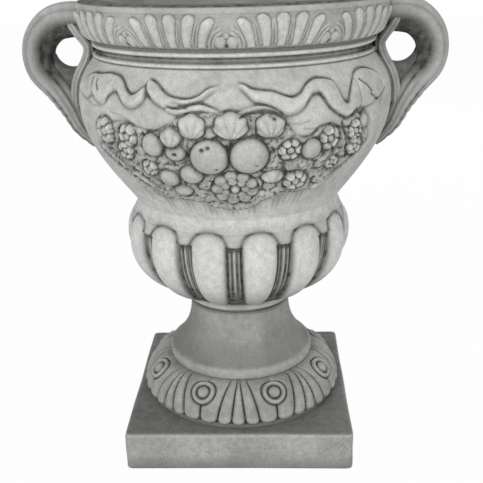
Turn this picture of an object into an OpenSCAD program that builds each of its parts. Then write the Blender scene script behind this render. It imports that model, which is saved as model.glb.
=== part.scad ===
// Concrete garden urn with two handles, cast in six parts and bedded in mortar.
// The front faces -Y, the handles lie along X and the underside lies at Z = 0.

/* [Plinth] */
// Width and depth of the square slab
plinth_w = 250; // [240:5:300]
// Height of the slab
plinth_h = 45; // [40:1:60]
// Worn arris of the slab, as a bevel
plinth_bevel = 4; // [2:0.5:8]

/* [Foot] */
// Radius of the leaf ring where it meets the slab
leaf_ring_r = 117; // [112:1:119]
// Height of the leaf ring
leaf_ring_h = 40.5; // [36:0.5:46]
// Number of leaf tips round the ring
leaf_tip_count = 40; // [32:8:48]
// Depth of the valleys between leaf tips
leaf_relief = 5; // [2:0.5:6]
// Radius of the plain fillet above the leaves
fillet_r = 84; // [80:1:88]
// Height of the plain fillet
fillet_h = 12.5; // [9:0.5:16]
// Height of the flare from the fillet to the neck
flare_h = 58; // [50:1:66]
// Radius of the neck
neck_r = 57; // [54:0.5:60]
// Number of roundels among the leaves
roundel_count = 8; // [4:4:8]
// Radius of a roundel's outer ring, at its middle
roundel_r = 9.5; // [8:0.5:11]
// Thickness of a roundel's outer ring
roundel_bar = 5; // [4:0.5:6]
// Radius of the ball in a roundel's middle
roundel_ball_r = 5; // [4:0.5:6]

/* [Cup] */
// Height of the collar bead under the cup
collar_h = 9; // [7:0.5:11]
// Radius of the collar bead
collar_r = 62; // [60:0.5:64]
// Height of the gadrooned cup
cup_h = 114; // [108:1:122]
// Widest radius over the gadroons
cup_r = 126; // [122:1:130]
// Number of gadroons
gadroon_count = 14; // [12:1:16]
// Share of each pitch that the gadroon takes
gadroon_share = 0.7; // [0.62:0.02:0.78]
// Depth of the flutes between gadroons
flute_depth = 12; // [8:0.5:14]
// Share of the cup's height at which a plain hem closes the flutes
hem_share = 0.765; // [0.72:0.005:0.8]
// How far the hem lies back from the gadroons
hem_drop = 2.4; // [1:0.2:4]
// Radius of the waist above the cup
waist_r = 111.5; // [109:0.5:114]

/* [Belly] */
// Rise from the waist to the widest line of the belly
belly_rise = 107; // [98:1:116]
// How far the widest line of the belly lies outside the shoulder's top
belly_swell = 19.5; // [15:0.5:24]
// Rise from the widest line to the top of the shoulder
shoulder_rise = 45.5; // [40:0.5:52]
// Radius at the top of the shoulder
shoulder_r = 146; // [143:0.5:149]
// Height of the mouldings between shoulder and rim
moulding_h = 15.5; // [14:0.5:18]
// How far the mouldings' beads stand out
bead_proud = 4; // [2:0.5:5]

/* [Garland] */
// Radius of the two large fruits
fruit_r = 17; // [14:0.5:19]
// Radius of the small fruits
berry_r = 10.5; // [8:0.5:12]
// Radius of the blossoms
blossom_r = 13; // [11:0.5:15]
// Number of petals of a blossom
petal_count = 5; // [4:1:6]
// Radius of the daisy under the garland
daisy_r = 22; // [18:0.5:25]
// Number of petals of the daisy
daisy_petal_count = 8; // [7:1:10]
// Share of a fruit's radius that is sunk in the belly
fruit_sunk = 0.42; // [0.3:0.02:0.6]
// Height of the ribbon from edge to edge
ribbon_h = 20; // [14:0.5:24]
// How far the ribbon stands out
ribbon_proud = 5; // [3:0.5:7]

/* [Rim] */
// Height of the rim course
rim_h = 38; // [34:1:42]
// How far the rim stands out over the shoulder's top
rim_proud = 14.5; // [10:0.5:20]
// How far the rim's underside lies outside the shoulder's top
rim_foot_out = 2; // [0:0.5:5]
// Number of leaf groups round the frieze
frieze_count = 10; // [8:1:12]
// How far the frieze leaves stand out
frieze_relief = 2.5; // [1:0.5:4]
// Radius of the eye between two leaf groups
frieze_eye_r = 6; // [4:0.5:7]

/* [Hollow] */
// Wall of the lower belly
wall = 24; // [20:1:28]
// Wall behind the shoulder and the mouldings
shoulder_wall = 22; // [18:1:26]
// How much wider the mouth is at the top of the rim
mouth_spread = 7; // [4:0.5:12]
// Wall of the cup behind the gadroons, at its thickest
cup_wall = 40; // [36:1:48]
// Thickness of the floor above the collar's underside
floor_t = 38; // [32:1:46]

/* [Handles] */
// How far the loop's centre lies outside rim and belly
loop_out = 9; // [7:0.5:11]
// Drop of the loop's centre under the rim's top
loop_drop = 54; // [52:0.5:57]
// Radius of the loop along the middle of the handle
loop_r = 38; // [37:0.5:40]
// Thickness of the handle across the loop
handle_t = 29; // [26:0.5:31]
// Width of the handle from front to back
handle_w = 43; // [38:1:48]
// Radius of the round foot of the opening in the loop
opening_r = 18.5; // [16:0.5:20]
// How far the opening's middle lies outside the loop's centre
opening_out = 9; // [7:0.5:11]
// Thickness of the web under the opening
web_t = 22; // [14:1:30]
// Thickness of the strap that lies on rim and shoulder
strap_t = 7; // [5:0.5:9]
// Width of the strap
strap_w = 39; // [34:1:42]
// Length of the leaf in which the handle ends on the belly
handle_leaf_h = 54; // [48:1:60]

/* [Drain] */
// Outer diameter of the drain sleeve
sleeve_d = 26; // [22:1:30]
// Wall of the drain sleeve
sleeve_wall = 2.5; // [1.5:0.5:3]
// Height of the sleeve's foot over the ground
sleeve_lift = 1; // [0.5:0.5:3]

/* [Mortar] */
// Thickness of the mortar beds
bed_t = 3; // [2:0.5:4]
// How far the beds are pointed back from the faces
bed_set_back = 1.5; // [0.5:0.5:3]
// Thickness of the mortar pads behind the handles
pad_t = 2; // [1.5:0.5:3]

/* [Steel] */
// Diameter of the pins between slab and foot
plinth_pin_d = 12; // [8:1:14]
// Diameter of the pins between foot and bowl
bowl_pin_d = 10; // [8:1:12]
// Diameter of the pins between bowl and rim
rim_pin_d = 7; // [6:0.5:8]
// Length of each pin in each of its two castings
pin_bite = 22; // [16:1:26]
// Diameter of the rod in each handle
rod_d = 10; // [8:1:12]
// Width of the hoops
hoop_w = 6; // [4:0.5:7]
// Height of the hoops
hoop_h = 8; // [6:0.5:10]
// Diameter of the slab's reinforcing bars
bar_d = 6; // [5:0.5:8]
// Clearance round steel and sleeve
fit = 0.2; // [0.1:0.05:0.4]

/* [Hidden] */
$fn = 96;
eps = 0.01;

// How far a cut runs past a face, a core laps into the next course, and a turned edge is eased
over = 1;
core_lap = 2;
edge_ease = 1;

// Heights of the joints, from the ground up
foot_z = plinth_h + bed_t;
fillet_z = foot_z + leaf_ring_h;
flare_z = fillet_z + fillet_h;
neck_z = flare_z + flare_h;
bowl_z = neck_z + bed_t;
cup_z = bowl_z + collar_h;
waist_z = cup_z + cup_h;
belly_z = waist_z + belly_rise;
shoulder_z = belly_z + shoulder_rise;
bowl_top_z = shoulder_z + moulding_h;
rim_z = bowl_top_z + bed_t;
top_z = rim_z + rim_h;
floor_z = bowl_z + floor_t;

// Radii that follow the shoulder's top
belly_r = shoulder_r + belly_swell;
rim_r = shoulder_r + rim_proud;
rim_foot_r = shoulder_r + rim_foot_out;

// Concrete left beside the steel, and the radii that pins and hoops stand on
plinth_pin_cover = 6;
rim_pin_cover = 5;
rim_hoop_cover = 3;
foot_hoop_cover = 12;
plinth_pin_at = fillet_r - plinth_pin_d / 2 - plinth_pin_cover;
bowl_pin_at = (neck_r + sleeve_d / 2) / 2;
core_r = shoulder_r - shoulder_wall;
mouth_r = core_r + mouth_spread;
well_r = cup_r - cup_wall;
rim_pin_at = core_r + rim_pin_d / 2 + rim_pin_cover;
rim_hoop_at = rim_foot_r - hoop_w / 2 - rim_hoop_cover;
loop_x = (belly_r + rim_r) / 2 + loop_out;
loop_z = top_z - loop_drop;
foot_hoop_at = leaf_ring_r - hoop_w / 2 - foot_hoop_cover;

concrete = [0.76, 0.76, 0.75];
concrete_dark = [0.6, 0.6, 0.59];
mortar = [0.55, 0.55, 0.53];
steel = [0.45, 0.46, 0.48];
plastic = [0.25, 0.25, 0.26];

// A point at an angle from the front, a radius and a height
function around(a, r, z) = [r * sin(a), -r * cos(a), z];

// A smooth curve through points, with n steps to each gap
function knot(p, i) = p[min(max(i, 0), len(p) - 1)];
function blend(a, b, c, d, t) =
    0.5 * (2 * b + (c - a) * t + (2 * a - 5 * b + 4 * c - d) * t * t + (3 * b - a - 3 * c + d) * t * t * t);
function smooth(p, n) = concat(
    [for (i = [0:len(p) - 2]) for (j = [0:n - 1])
        blend(knot(p, i - 1), knot(p, i), knot(p, i + 1), knot(p, i + 2), j / n)],
    [p[len(p) - 1]]);

// A half-round bead of a given height on a wall of radius r
function bead(r, z, h, proud) = [for (t = [-90:30:90]) [r + proud * cos(t), z + h / 2 + h / 2 * sin(t)]];

// Skin over a pile of rings that all have as many points
module loft(rings) {
    n = len(rings[0]);
    m = len(rings);
    points = [for (ring = rings) for (p = ring) p];
    walls = [for (j = [0:m - 2]) for (i = [0:n - 1])
        let (a = j * n + i, b = a + n, c = (j + 1) * n + (i + 1) % n, d = j * n + (i + 1) % n)
        each [[a, b, c], [a, c, d]]];
    bottom = [[for (i = [0:n - 1]) i]];
    top = [[for (i = [0:n - 1]) m * n - 1 - i]];
    polyhedron(points = points, faces = concat(bottom, walls, top), convexity = 8);
}

// Pins standing in a circle
module pins(count, turn, at, d, z, h) {
    for (i = [0:count - 1])
        rotate(turn + i * 360 / count)
            translate([0, -at, z])
                cylinder(d = d, h = h);
}

pin_h = 2 * pin_bite + bed_t;

module plinth_pins(grow) pins(4, 45, plinth_pin_at, plinth_pin_d + grow, plinth_h - pin_bite, pin_h);
module bowl_pins(grow) pins(3, 0, bowl_pin_at, bowl_pin_d + grow, neck_z - pin_bite, pin_h);
module rim_pins(grow) pins(6, 0, rim_pin_at, rim_pin_d + grow, bowl_top_z - pin_bite, pin_h);

module drain_hole(z, h) translate([0, 0, z]) cylinder(d = sleeve_d + 2 * fit, h = h);

// Flat steel hoop, with room round it when it is grown
module hoop(at, z, grow) {
    rotate_extrude()
        translate([at - hoop_w / 2 - grow, z - eps * sign(grow)])
            square([hoop_w + 2 * grow, hoop_h + grow + eps * sign(grow)]);
}

// Slab
module slab() {
    inner = plinth_w - 2 * plinth_bevel;
    side_h = plinth_h - 2 * plinth_bevel;
    hull() {
        translate([-inner / 2, -inner / 2, 0]) cube([inner, inner, plinth_h]);
        translate([-plinth_w / 2, -inner / 2, plinth_bevel]) cube([plinth_w, inner, side_h]);
        translate([-inner / 2, -plinth_w / 2, plinth_bevel]) cube([inner, plinth_w, side_h]);
    }
}

// Reinforcement: four bars each way, let into each other by 1 mm where they cross
mesh_cover = 20;
mesh_drop = 6;
mesh_shares = [-0.42, -0.16, 0.16, 0.42];
mesh_reach = plinth_w - 2 * (plinth_bevel + mesh_cover);
mesh_z = plinth_h / 2 - mesh_drop;

module mesh_bars(grow) {
    level = bar_d - 1;
    for (x = mesh_shares) {
        translate([x * mesh_reach, -mesh_reach / 2 - grow, mesh_z])
            rotate([-90, 0, 0]) cylinder(d = bar_d + 2 * grow, h = mesh_reach + 2 * grow);
        translate([-mesh_reach / 2 - grow, x * mesh_reach, mesh_z - level])
            rotate([0, 90, 0]) cylinder(d = bar_d + 2 * grow, h = mesh_reach + 2 * grow);
    }
}

module plinth() {
    color(concrete_dark)
        difference() {
            slab();
            mesh_bars(fit);
            plinth_pins(2 * fit);
            drain_hole(-over, plinth_h + 2 * over);
        }
}

module plinth_mesh() {
    color(steel) mesh_bars(0);
}

module plinth_bed() {
    color(mortar)
        difference() {
            translate([0, 0, plinth_h]) cylinder(r = leaf_ring_r - leaf_relief - bed_set_back, h = bed_t);
            plinth_pins(2 * fit);
            drain_hole(plinth_h - over, bed_t + 2 * over);
        }
}

module plinth_dowels() {
    color(steel) plinth_pins(0);
}

// Leaf ring: a quarter ellipse whose face is scalloped into leaf tips
leaf_core_r = fillet_r + edge_ease;
leaf_samples = 4;

function scallop(a, count) = let (x = 2 * (a * count / 360 - floor(a * count / 360)) - 1) sqrt(1 - x * x);
function leaf_r(a, t) =
    leaf_core_r + (leaf_ring_r - leaf_core_r) * cos(t)
    - leaf_relief * (1 - scallop(a, leaf_tip_count)) * pow(cos(t), 0.7);

module leaf_ring() {
    n = leaf_tip_count * leaf_samples;
    seat_r = leaf_ring_r - leaf_relief;
    loft(concat(
        [[for (i = [0:n - 1]) around(i * 360 / n, seat_r, foot_z)]],
        [for (t = [2.5, 14, 28, 45, 64, 86])
            [for (i = [0:n - 1])
                let (a = i * 360 / n)
                around(a, leaf_r(a, t), foot_z + leaf_ring_h * sin(t))]]));
}

// Ring and ball that lie on the slope of the leaf ring
roundel_lie = 53;

module roundel() {
    rise = leaf_ring_h * sin(roundel_lie);
    out = leaf_core_r + (leaf_ring_r - leaf_core_r) * cos(roundel_lie);
    tilt = atan2(leaf_ring_h * cos(roundel_lie), (leaf_ring_r - leaf_core_r) * sin(roundel_lie));
    translate([0, -out, foot_z + rise])
        rotate([tilt, 0, 0]) {
            rotate_extrude() translate([roundel_r, 0]) circle(d = roundel_bar);
            sphere(r = roundel_ball_r);
        }
}

flare_foot_r = fillet_r - 2 * edge_ease;
function flare_r(u) = flare_foot_r - (flare_foot_r - neck_r) * (1 - pow(1 - u, 2.6));
foot_outline = concat(
    [[0, fillet_z - core_lap], [fillet_r - edge_ease, fillet_z - core_lap]],
    [[fillet_r, fillet_z + edge_ease], [fillet_r, flare_z - 2 * edge_ease], [fillet_r - edge_ease, flare_z]],
    [for (i = [0:12]) [flare_r(i / 12), flare_z + flare_h * i / 12]],
    [[0, neck_z]]);

module foot() {
    color(concrete)
        difference() {
            union() {
                leaf_ring();
                rotate_extrude() polygon(foot_outline);
                for (i = [0:roundel_count - 1])
                    rotate((i + 0.5) * 360 / roundel_count) roundel();
            }
            hoop(foot_hoop_at, foot_z, fit);
            plinth_pins(2 * fit);
            bowl_pins(2 * fit);
            drain_hole(foot_z - over, neck_z);
        }
}

module foot_hoop() {
    color(steel) hoop(foot_hoop_at, foot_z, 0);
}

module bowl_bed() {
    color(mortar)
        difference() {
            translate([0, 0, neck_z]) cylinder(r = neck_r - bed_set_back, h = bed_t);
            bowl_pins(2 * fit);
            drain_hole(neck_z - over, bed_t + 2 * over);
        }
}

module bowl_dowels() {
    color(steel) bowl_pins(0);
}

// Cup: an ellipse turned round the axis, ridged into round-ended gadroons
cup_core_r = collar_r - core_lap;
cup_wide = 0.6;
cup_closing = 0.545;
cup_low_power = 0.68;
cup_high_power = 0.5;
cup_top_share = 0.885;
low_end = 0.22;
high_end = 0.2;
gadroon_samples = 9;
waist_lap = 3;

function cup_level(u) = u < cup_wide ? (cup_wide - u) / cup_wide : (u - cup_wide) / cup_closing;
function crest_r(u) =
    cup_core_r + (cup_r - cup_core_r)
    * pow(1 - pow(cup_level(u), 2), u < cup_wide ? cup_low_power : cup_high_power);

// Height of a gadroon, from 0 at its edge to 1 along its middle, and the skin that it leaves
function gadroon(a, u) =
    let (x = 2 * (a * gadroon_count / 360 - floor(a * gadroon_count / 360)) - 1,
         end = max(0, 1 - u / low_end, 1 + (u - cup_top_share) / high_end),
         q = pow(x / gadroon_share, 2) + pow(end, 2))
    q < 1 ? pow(1 - q, 0.45) : 0;
function flute(a, u) = flute_depth * pow(sin(180 * min(u / cup_top_share, 1)), 0.6) * (1 - gadroon(a, u));
function cup_skin_r(a, u) = crest_r(u) - (u < hem_share ? flute(a, u) : min(flute(a, u), hem_drop));

module gadrooned_cup() {
    n = gadroon_count * gadroon_samples;
    levels = concat(
        [0.005, 0.04, 0.1, 0.2, 0.32, 0.46, 0.6, 0.69, hem_share - 0.01, hem_share + 0.01],
        [for (drop = [0.045, 0.022, 0.006]) cup_top_share - drop],
        [0.925]);
    loft(concat(
        [[for (i = [0:n - 1]) around(i * 360 / n, cup_core_r - core_lap, cup_z - core_lap)]],
        [for (u = levels)
            [for (i = [0:n - 1]) let (a = i * 360 / n) around(a, cup_skin_r(a, u), cup_z + cup_h * u)]],
        [for (u = [0.94, 0.98])
            [for (i = [0:n - 1]) around(i * 360 / n, waist_r - waist_lap, cup_z + cup_h * u)]]));
}

// Belly: swells from the waist to the widest line, then closes over the shoulder
belly_power = 1.05;
shoulder_power = 2.3;
function belly_at(z) = z < belly_z
    ? waist_r + (belly_r - waist_r) * pow(sin(90 * max(0, (z - waist_z) / belly_rise)), belly_power)
    : shoulder_r + (belly_r - shoulder_r) * (1 - pow(min(1, (z - belly_z) / shoulder_rise), shoulder_power));

waist_foot_z = cup_z + cup_h * 0.955;
groove_depth = 2.5;
groove_r = shoulder_r - groove_depth;
belly_curve = concat(
    [for (i = [0:14]) let (z = waist_z + belly_rise * i / 14) [belly_at(z), z]],
    [for (i = [1:10]) let (z = belly_z + shoulder_rise * i / 10) [belly_at(z), z]]);
moulding_curve = concat(
    [[groove_r, shoulder_z]],
    bead(groove_r, shoulder_z + 0.09 * moulding_h, 0.22 * moulding_h, bead_proud),
    bead(groove_r, shoulder_z + 0.44 * moulding_h, 0.16 * moulding_h, bead_proud * 0.7),
    bead(groove_r, shoulder_z + 0.77 * moulding_h, 0.23 * moulding_h, bead_proud));
body_outline = concat(
    [[0, bowl_z], [neck_r, bowl_z]],
    bead(collar_r - collar_h / 2, bowl_z, collar_h, collar_h / 2),
    [[cup_core_r - core_lap, cup_z + edge_ease], [cup_core_r, waist_foot_z]],
    [[waist_r - edge_ease, waist_foot_z], [waist_r, waist_foot_z + edge_ease]],
    belly_curve,
    moulding_curve,
    [[0, bowl_top_z]]);

// Hollow: the core draws upwards, so it never widens on the way down
function hollow_at(z) = min(core_r, belly_at(z) - wall);
floor_corner = 22;
hollow_outline = concat(
    [[0, floor_z], [well_r - floor_corner, floor_z]],
    [for (t = [30:30:90]) [well_r - floor_corner * (1 - sin(t)), floor_z + floor_corner * (1 - cos(t))]],
    [[well_r, waist_z - cup_h / 10]],
    [for (i = [0:9]) let (z = waist_z + belly_rise * i / 12) [hollow_at(z), z]],
    [[core_r, belly_z], [core_r, bowl_top_z + over], [0, bowl_top_z + over]]);

// Garland: fruits, blossoms and the daisy, by angle, share of the belly's rise and radius
fruits = [
    [-6.5, 0.74, fruit_r], [6.5, 0.74, fruit_r],
    [-26, 0.81, berry_r], [27.5, 0.74, berry_r],
    [-22, 0.52, berry_r], [-13, 0.57, berry_r], [14.5, 0.52, berry_r], [-17.5, 0.41, berry_r]
];
blossoms = [
    [-10.5, 1, blossom_r], [1, 1, blossom_r], [12.5, 1, blossom_r],
    [-36, 0.85, blossom_r], [35, 0.84, blossom_r], [-47, 0.88, blossom_r], [46.5, 0.77, blossom_r],
    [20.5, 0.72, blossom_r], [24, 0.47, blossom_r]
];
daisy = [1, 0.41, daisy_r];

// Stands what follows on the belly, square to its slope and sunk by a depth
module on_belly(g, sunk) {
    z = waist_z + belly_rise * g[1];
    lean = atan((belly_at(z + 1) - belly_at(z - 1)) / 2);
    rotate(g[0]) translate([0, -belly_at(z), z]) rotate([lean, 0, 0]) translate([0, sunk, 0]) children();
}

module flower(r, petals) {
    petal_at = 0.62 * r;
    petal_r = 1.25 * petal_at * sin(180 / petals);
    for (k = [0:petals - 1])
        rotate([0, k * 360 / petals, 0]) translate([0, 0, petal_at]) sphere(r = petal_r, $fn = 36);
    translate([0, -0.1 * r, 0]) sphere(r = 0.36 * r, $fn = 36);
}

// Ribbon of one side, by angle, share of the belly's rise and share of its full height
ribbon_line = [
    [2, 1.16, 0.5], [9, 1.15, 0.9], [18, 1.13, 0.9], [24, 1.19, 0.8], [30, 1.26, 0.8],
    [37, 1.15, 1], [44, 1.12, 1], [51, 1.19, 1.1], [58, 1.16, 0.6]
];

function ribbon_ring(g) = [for (f = [0:60:300])
    let (z = waist_z + belly_rise * g[1] - ribbon_h / 2 * g[2] * sin(f))
    around(g[0], belly_at(z) + ribbon_proud * cos(f), z)];

module ribbon() {
    loft([for (g = smooth(ribbon_line, 2)) ribbon_ring(g)]);
}

module garland_half() {
    for (g = fruits) on_belly(g, fruit_sunk * g[2]) sphere(r = g[2], $fn = 36);
    for (g = blossoms) on_belly(g, 0) flower(g[2], petal_count);
    on_belly(daisy, 0) flower(daisy[2], daisy_petal_count);
    ribbon();
    mirror([1, 0, 0]) ribbon();
}

module bowl() {
    color(concrete)
        difference() {
            union() {
                rotate_extrude() polygon(body_outline);
                gadrooned_cup();
                garland_half();
                rotate(180) garland_half();
            }
            rotate_extrude() polygon(hollow_outline);
            bowl_pins(2 * fit);
            rim_pins(2 * fit);
            handle_rods(fit);
            drain_hole(bowl_z - over, floor_t + 2 * over);
        }
}

module rim_bed() {
    color(mortar)
        difference() {
            translate([0, 0, bowl_top_z]) cylinder(r = groove_r + bead_proud - bed_set_back, h = bed_t);
            translate([0, 0, bowl_top_z - over]) cylinder(r = core_r + bed_set_back, h = bed_t + 2 * over);
            rim_pins(2 * fit);
        }
}

module rim_dowels() {
    color(steel) rim_pins(0);
}

// Rim: a swelling ring whose face is ridged into upright leaves, plain behind the handles
frieze_samples = 4;
leaves_per_group = 6;
plain_half_angle = 12;
rim_turn = 130;

function rim_at(z) =
    let (u = min(1, max(0, (z - rim_z) / rim_h)))
    rim_foot_r + (rim_r - rim_foot_r) * pow(sin(rim_turn * u), 0.6);
function beside_handle(a) = abs(abs(a > 180 ? a - 360 : a) - 90) > plain_half_angle ? 1 : 0;
function frieze_r(a, z, share) = rim_at(z) + frieze_relief * share * beside_handle(a)
    * scallop(a + 180 / (frieze_count * leaves_per_group), frieze_count * leaves_per_group);

// Levels of the rim, by share of its height and share of the relief
rim_levels = [[0, 0], [0.06, 0.7], [0.2, 1], [0.4, 1], [0.6, 0.9], [0.7, 0], [0.95, 0], [1, 0]];
rim_edge = 1.5;
mouth_bevel = 3;

module rim_body() {
    n = frieze_count * leaves_per_group * frieze_samples;
    loft([for (level = rim_levels)
        let (z = rim_z + rim_h * level[0], ease = level[0] == 1 ? rim_edge : 0)
        [for (i = [0:n - 1]) let (a = i * 360 / n) around(a, frieze_r(a, z, level[1]) - ease, z)]]);
}

module frieze_eyes() {
    z = rim_z + frieze_eye_r * 0.9;
    for (i = [0:frieze_count - 1]) {
        a = i * 360 / frieze_count;
        if (beside_handle(a) > 0)
            rotate(a)
                translate([0, -rim_at(z) + frieze_eye_r * 0.55, z])
                    sphere(r = frieze_eye_r, $fn = 36);
    }
}

mouth_outline = [
    [0, rim_z - over], [core_r, rim_z - over], [core_r, rim_z], [mouth_r, top_z - mouth_bevel],
    [mouth_r + mouth_bevel, top_z], [mouth_r + mouth_bevel, top_z + over], [0, top_z + over]
];

module rim() {
    color(concrete)
        difference() {
            union() {
                rim_body();
                frieze_eyes();
            }
            rotate_extrude() polygon(mouth_outline);
            hoop(rim_hoop_at, rim_z, fit);
            rim_pins(2 * fit);
            handle_rods(fit);
        }
}

module rim_hoop() {
    color(steel) hoop(rim_hoop_at, rim_z, 0);
}

// Steel of a handle: a rod round the loop, keyed into the rim, and a level pin into the belly
rod_key = 22;
rod_leave = 35;
rod_start = acos(-rod_key / loop_r);
pin_z = belly_z - 0.19 * handle_leaf_h;
pin_in = belly_at(pin_z) - rod_key;
pin_out = belly_at(pin_z) + handle_t / 2;

module handle_rod(grow) {
    d = rod_d + 2 * grow;
    translate([loop_x, 0, loop_z])
        rotate([90, 0, 0])
            rotate(-rod_leave - grow)
                rotate_extrude(angle = rod_start + rod_leave + 2 * grow)
                    translate([loop_r, 0]) circle(d = d);
    translate([pin_in - grow, 0, pin_z])
        rotate([0, 90, 0])
            cylinder(d = d, h = pin_out - pin_in + 2 * grow);
}

module handle_rods(grow) {
    handle_rod(grow);
    mirror([1, 0, 0]) handle_rod(grow);
}

// Handle: along the middle, [out, up, half thickness, half width], and then down the belly as a leaf
half_t = handle_t / 2;
half_w = handle_w / 2;
function on_loop(out, up, t, w) = [loop_x + out * loop_r, loop_z + up * loop_r, t * half_t, w * half_w];
function on_leaf(down, out, t, w) =
    let (z = belly_z - down * handle_leaf_h) [belly_at(z) + out * half_t, z, t * half_t, w * half_w];
handle_line = [
    on_loop(-0.66, 0.86, 0.95, 1), on_loop(-0.12, 0.95, 1.07, 1), on_loop(0.46, 0.84, 1.07, 1),
    on_loop(0.86, 0.47, 1.02, 1), on_loop(1.01, 0, 0.97, 1), on_loop(0.9, -0.5, 1, 1),
    on_loop(0.5, -0.97, 1.03, 1),
    on_leaf(0.19, 0.86, 0.87, 1.05), on_leaf(0.6, 0.56, 0.66, 0.91), on_leaf(1, 0.14, 0.35, 0.42)
];

// Section across the handle: a superellipse, flatter on its four sides than an ellipse
squareness = 0.7;
function squared(x) = sign(x) * pow(abs(x), squareness);
function section(p, q, c) =
    let (t = (q - p) / norm([q[0] - p[0], q[1] - p[1]]))
    [for (f = [0:22.5:359])
        let (across = c[2] * squared(cos(f)))
        [c[0] + across * t[1], c[3] * squared(sin(f)), c[1] - across * t[0]]];

module handle_sweep() {
    line = smooth(handle_line, 3);
    last = len(line) - 1;
    loft([for (i = [0:last]) section(line[max(i - 1, 0)], line[min(i + 1, last)], line[i])]);
}

// Space that belly, mouldings and rim take, grown outwards by the pads
moulding_out = groove_r + bead_proud;

module body_space(grow) {
    rotate_extrude()
        polygon(concat(
            [[0, waist_z]],
            [for (p = belly_curve) p + [grow, 0]],
            [[moulding_out + grow, shoulder_z], [moulding_out + grow, rim_z]],
            [for (level = rim_levels) let (z = rim_z + rim_h * level[0]) [rim_at(z) + grow, z]],
            [[rim_at(top_z) + grow, top_z + over], [0, top_z + over]]));
}

// Strap: the inner side of the loop, which lies on rim and shoulder
strap_foot_z = belly_z - strap_t;
strap_top_z = rim_z + rim_h / 2;
strap_half_angle = asin(strap_w / 2 / rim_r);

strap_h = strap_top_z - strap_foot_z;

function body_at(z) = z < shoulder_z ? max(belly_at(z), moulding_out) : z < rim_z ? moulding_out : rim_at(z);
function strap_at(z) = strap_t + pad_t + body_at(z);

module strap() {
    rotate(-strap_half_angle)
        rotate_extrude(angle = 2 * strap_half_angle)
            polygon(concat(
                [[moulding_out - core_lap, strap_foot_z]],
                [for (i = [0:16]) let (z = strap_foot_z + strap_h * i / 16) [strap_at(z), z]],
                [[moulding_out - core_lap, strap_top_z]]));
}

// Web: fills the wedge between strap and lower limb, up to the round foot of the opening
web_outline = [
    [loop_x - loop_r, loop_z], [loop_x + 0.6 * loop_r, loop_z],
    [loop_x + 0.75 * loop_r, loop_z - 0.5 * loop_r], [loop_x + 0.4 * loop_r, loop_z - loop_r],
    [loop_x, strap_foot_z], [loop_x - loop_r, strap_foot_z]
];

module web() {
    rotate([90, 0, 0])
        linear_extrude(height = web_t, center = true)
            difference() {
                polygon(web_outline);
                translate([loop_x + opening_out, loop_z + 1]) circle(r = opening_r);
            }
}

module handle_blank() {
    handle_sweep();
    strap();
    web();
}

module handle() {
    difference() {
        handle_blank();
        body_space(pad_t);
        handle_rod(fit);
    }
}

module handle_pads() {
    difference() {
        intersection() {
            handle_blank();
            body_space(pad_t);
        }
        body_space(0);
        handle_rod(fit);
    }
}

module handle_right() {
    color(concrete) handle();
}

module handle_left() {
    color(concrete) mirror([1, 0, 0]) handle();
}

module handle_right_rod() {
    color(steel) handle_rod(0);
}

module handle_left_rod() {
    color(steel) mirror([1, 0, 0]) handle_rod(0);
}

module handle_right_pads() {
    color(mortar) handle_pads();
}

module handle_left_pads() {
    color(mortar) mirror([1, 0, 0]) handle_pads();
}

module drain_sleeve() {
    color(plastic)
        difference() {
            translate([0, 0, sleeve_lift]) cylinder(d = sleeve_d, h = floor_z - sleeve_lift);
            translate([0, 0, sleeve_lift - over]) cylinder(d = sleeve_d - 2 * sleeve_wall, h = floor_z);
        }
}

plinth();
plinth_mesh();
plinth_bed();
plinth_dowels();
foot();
foot_hoop();
bowl_bed();
bowl_dowels();
bowl();
rim_bed();
rim_dowels();
rim();
rim_hoop();
handle_left();
handle_left_rod();
handle_left_pads();
handle_right();
handle_right_rod();
handle_right_pads();
drain_sleeve();
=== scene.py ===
"""Looks of a cast concrete garden urn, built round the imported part.

Lengths are in millimetres, as in the part's own source, and become metres where a mesh is made.
Angles are in degrees round the urn's axis, from the front (-Y) towards +X.
"""

import logging
from dataclasses import dataclass
from enum import Enum

import bpy
import numpy as np
from mathutils import Matrix, Vector

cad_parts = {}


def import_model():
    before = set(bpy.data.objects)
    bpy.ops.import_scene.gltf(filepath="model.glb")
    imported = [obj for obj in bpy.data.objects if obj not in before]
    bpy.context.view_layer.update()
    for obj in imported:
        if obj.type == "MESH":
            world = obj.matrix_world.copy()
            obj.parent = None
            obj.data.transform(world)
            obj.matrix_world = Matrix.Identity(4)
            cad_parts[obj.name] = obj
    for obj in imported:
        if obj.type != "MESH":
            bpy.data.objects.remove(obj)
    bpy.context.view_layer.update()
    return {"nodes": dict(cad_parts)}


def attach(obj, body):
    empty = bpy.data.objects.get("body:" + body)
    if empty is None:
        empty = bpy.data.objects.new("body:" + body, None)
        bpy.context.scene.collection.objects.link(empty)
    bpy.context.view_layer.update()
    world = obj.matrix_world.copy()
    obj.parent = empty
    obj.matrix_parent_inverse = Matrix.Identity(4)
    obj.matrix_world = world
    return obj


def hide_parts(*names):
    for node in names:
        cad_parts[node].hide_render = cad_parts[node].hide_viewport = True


LOG = logging.getLogger("urn")
MM = 0.001
Grid = np.ndarray
Object = bpy.types.Object
Material = bpy.types.Material
Socket = bpy.types.NodeSocket

# Heights of the courses, from the ground up
SLAB_TOP = 45.0
FOOT_Z = 48.0
FILLET_Z = 88.5
FLARE_Z = 101.0
NECK_Z = 159.0
BOWL_Z = 162.0
CUP_Z = 171.0
WAIST_Z = 285.0
BELLY_Z = 392.0
SHOULDER_Z = 437.5
BOWL_TOP_Z = 453.0
RIM_Z = 456.0
TOP_Z = 494.0
FLOOR_Z = 200.0
SEAM_Z = 289.0

# Radii that several pieces share
BORE_R = 13.2
WAIST_R = 111.5
BELLY_R = 165.5
SHOULDER_R = 146.0

# Studio: light from all round, and how much of the floor's look is plain white
AMBIENT = 0.52
FLOOR_WHITE = 0.97


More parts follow.
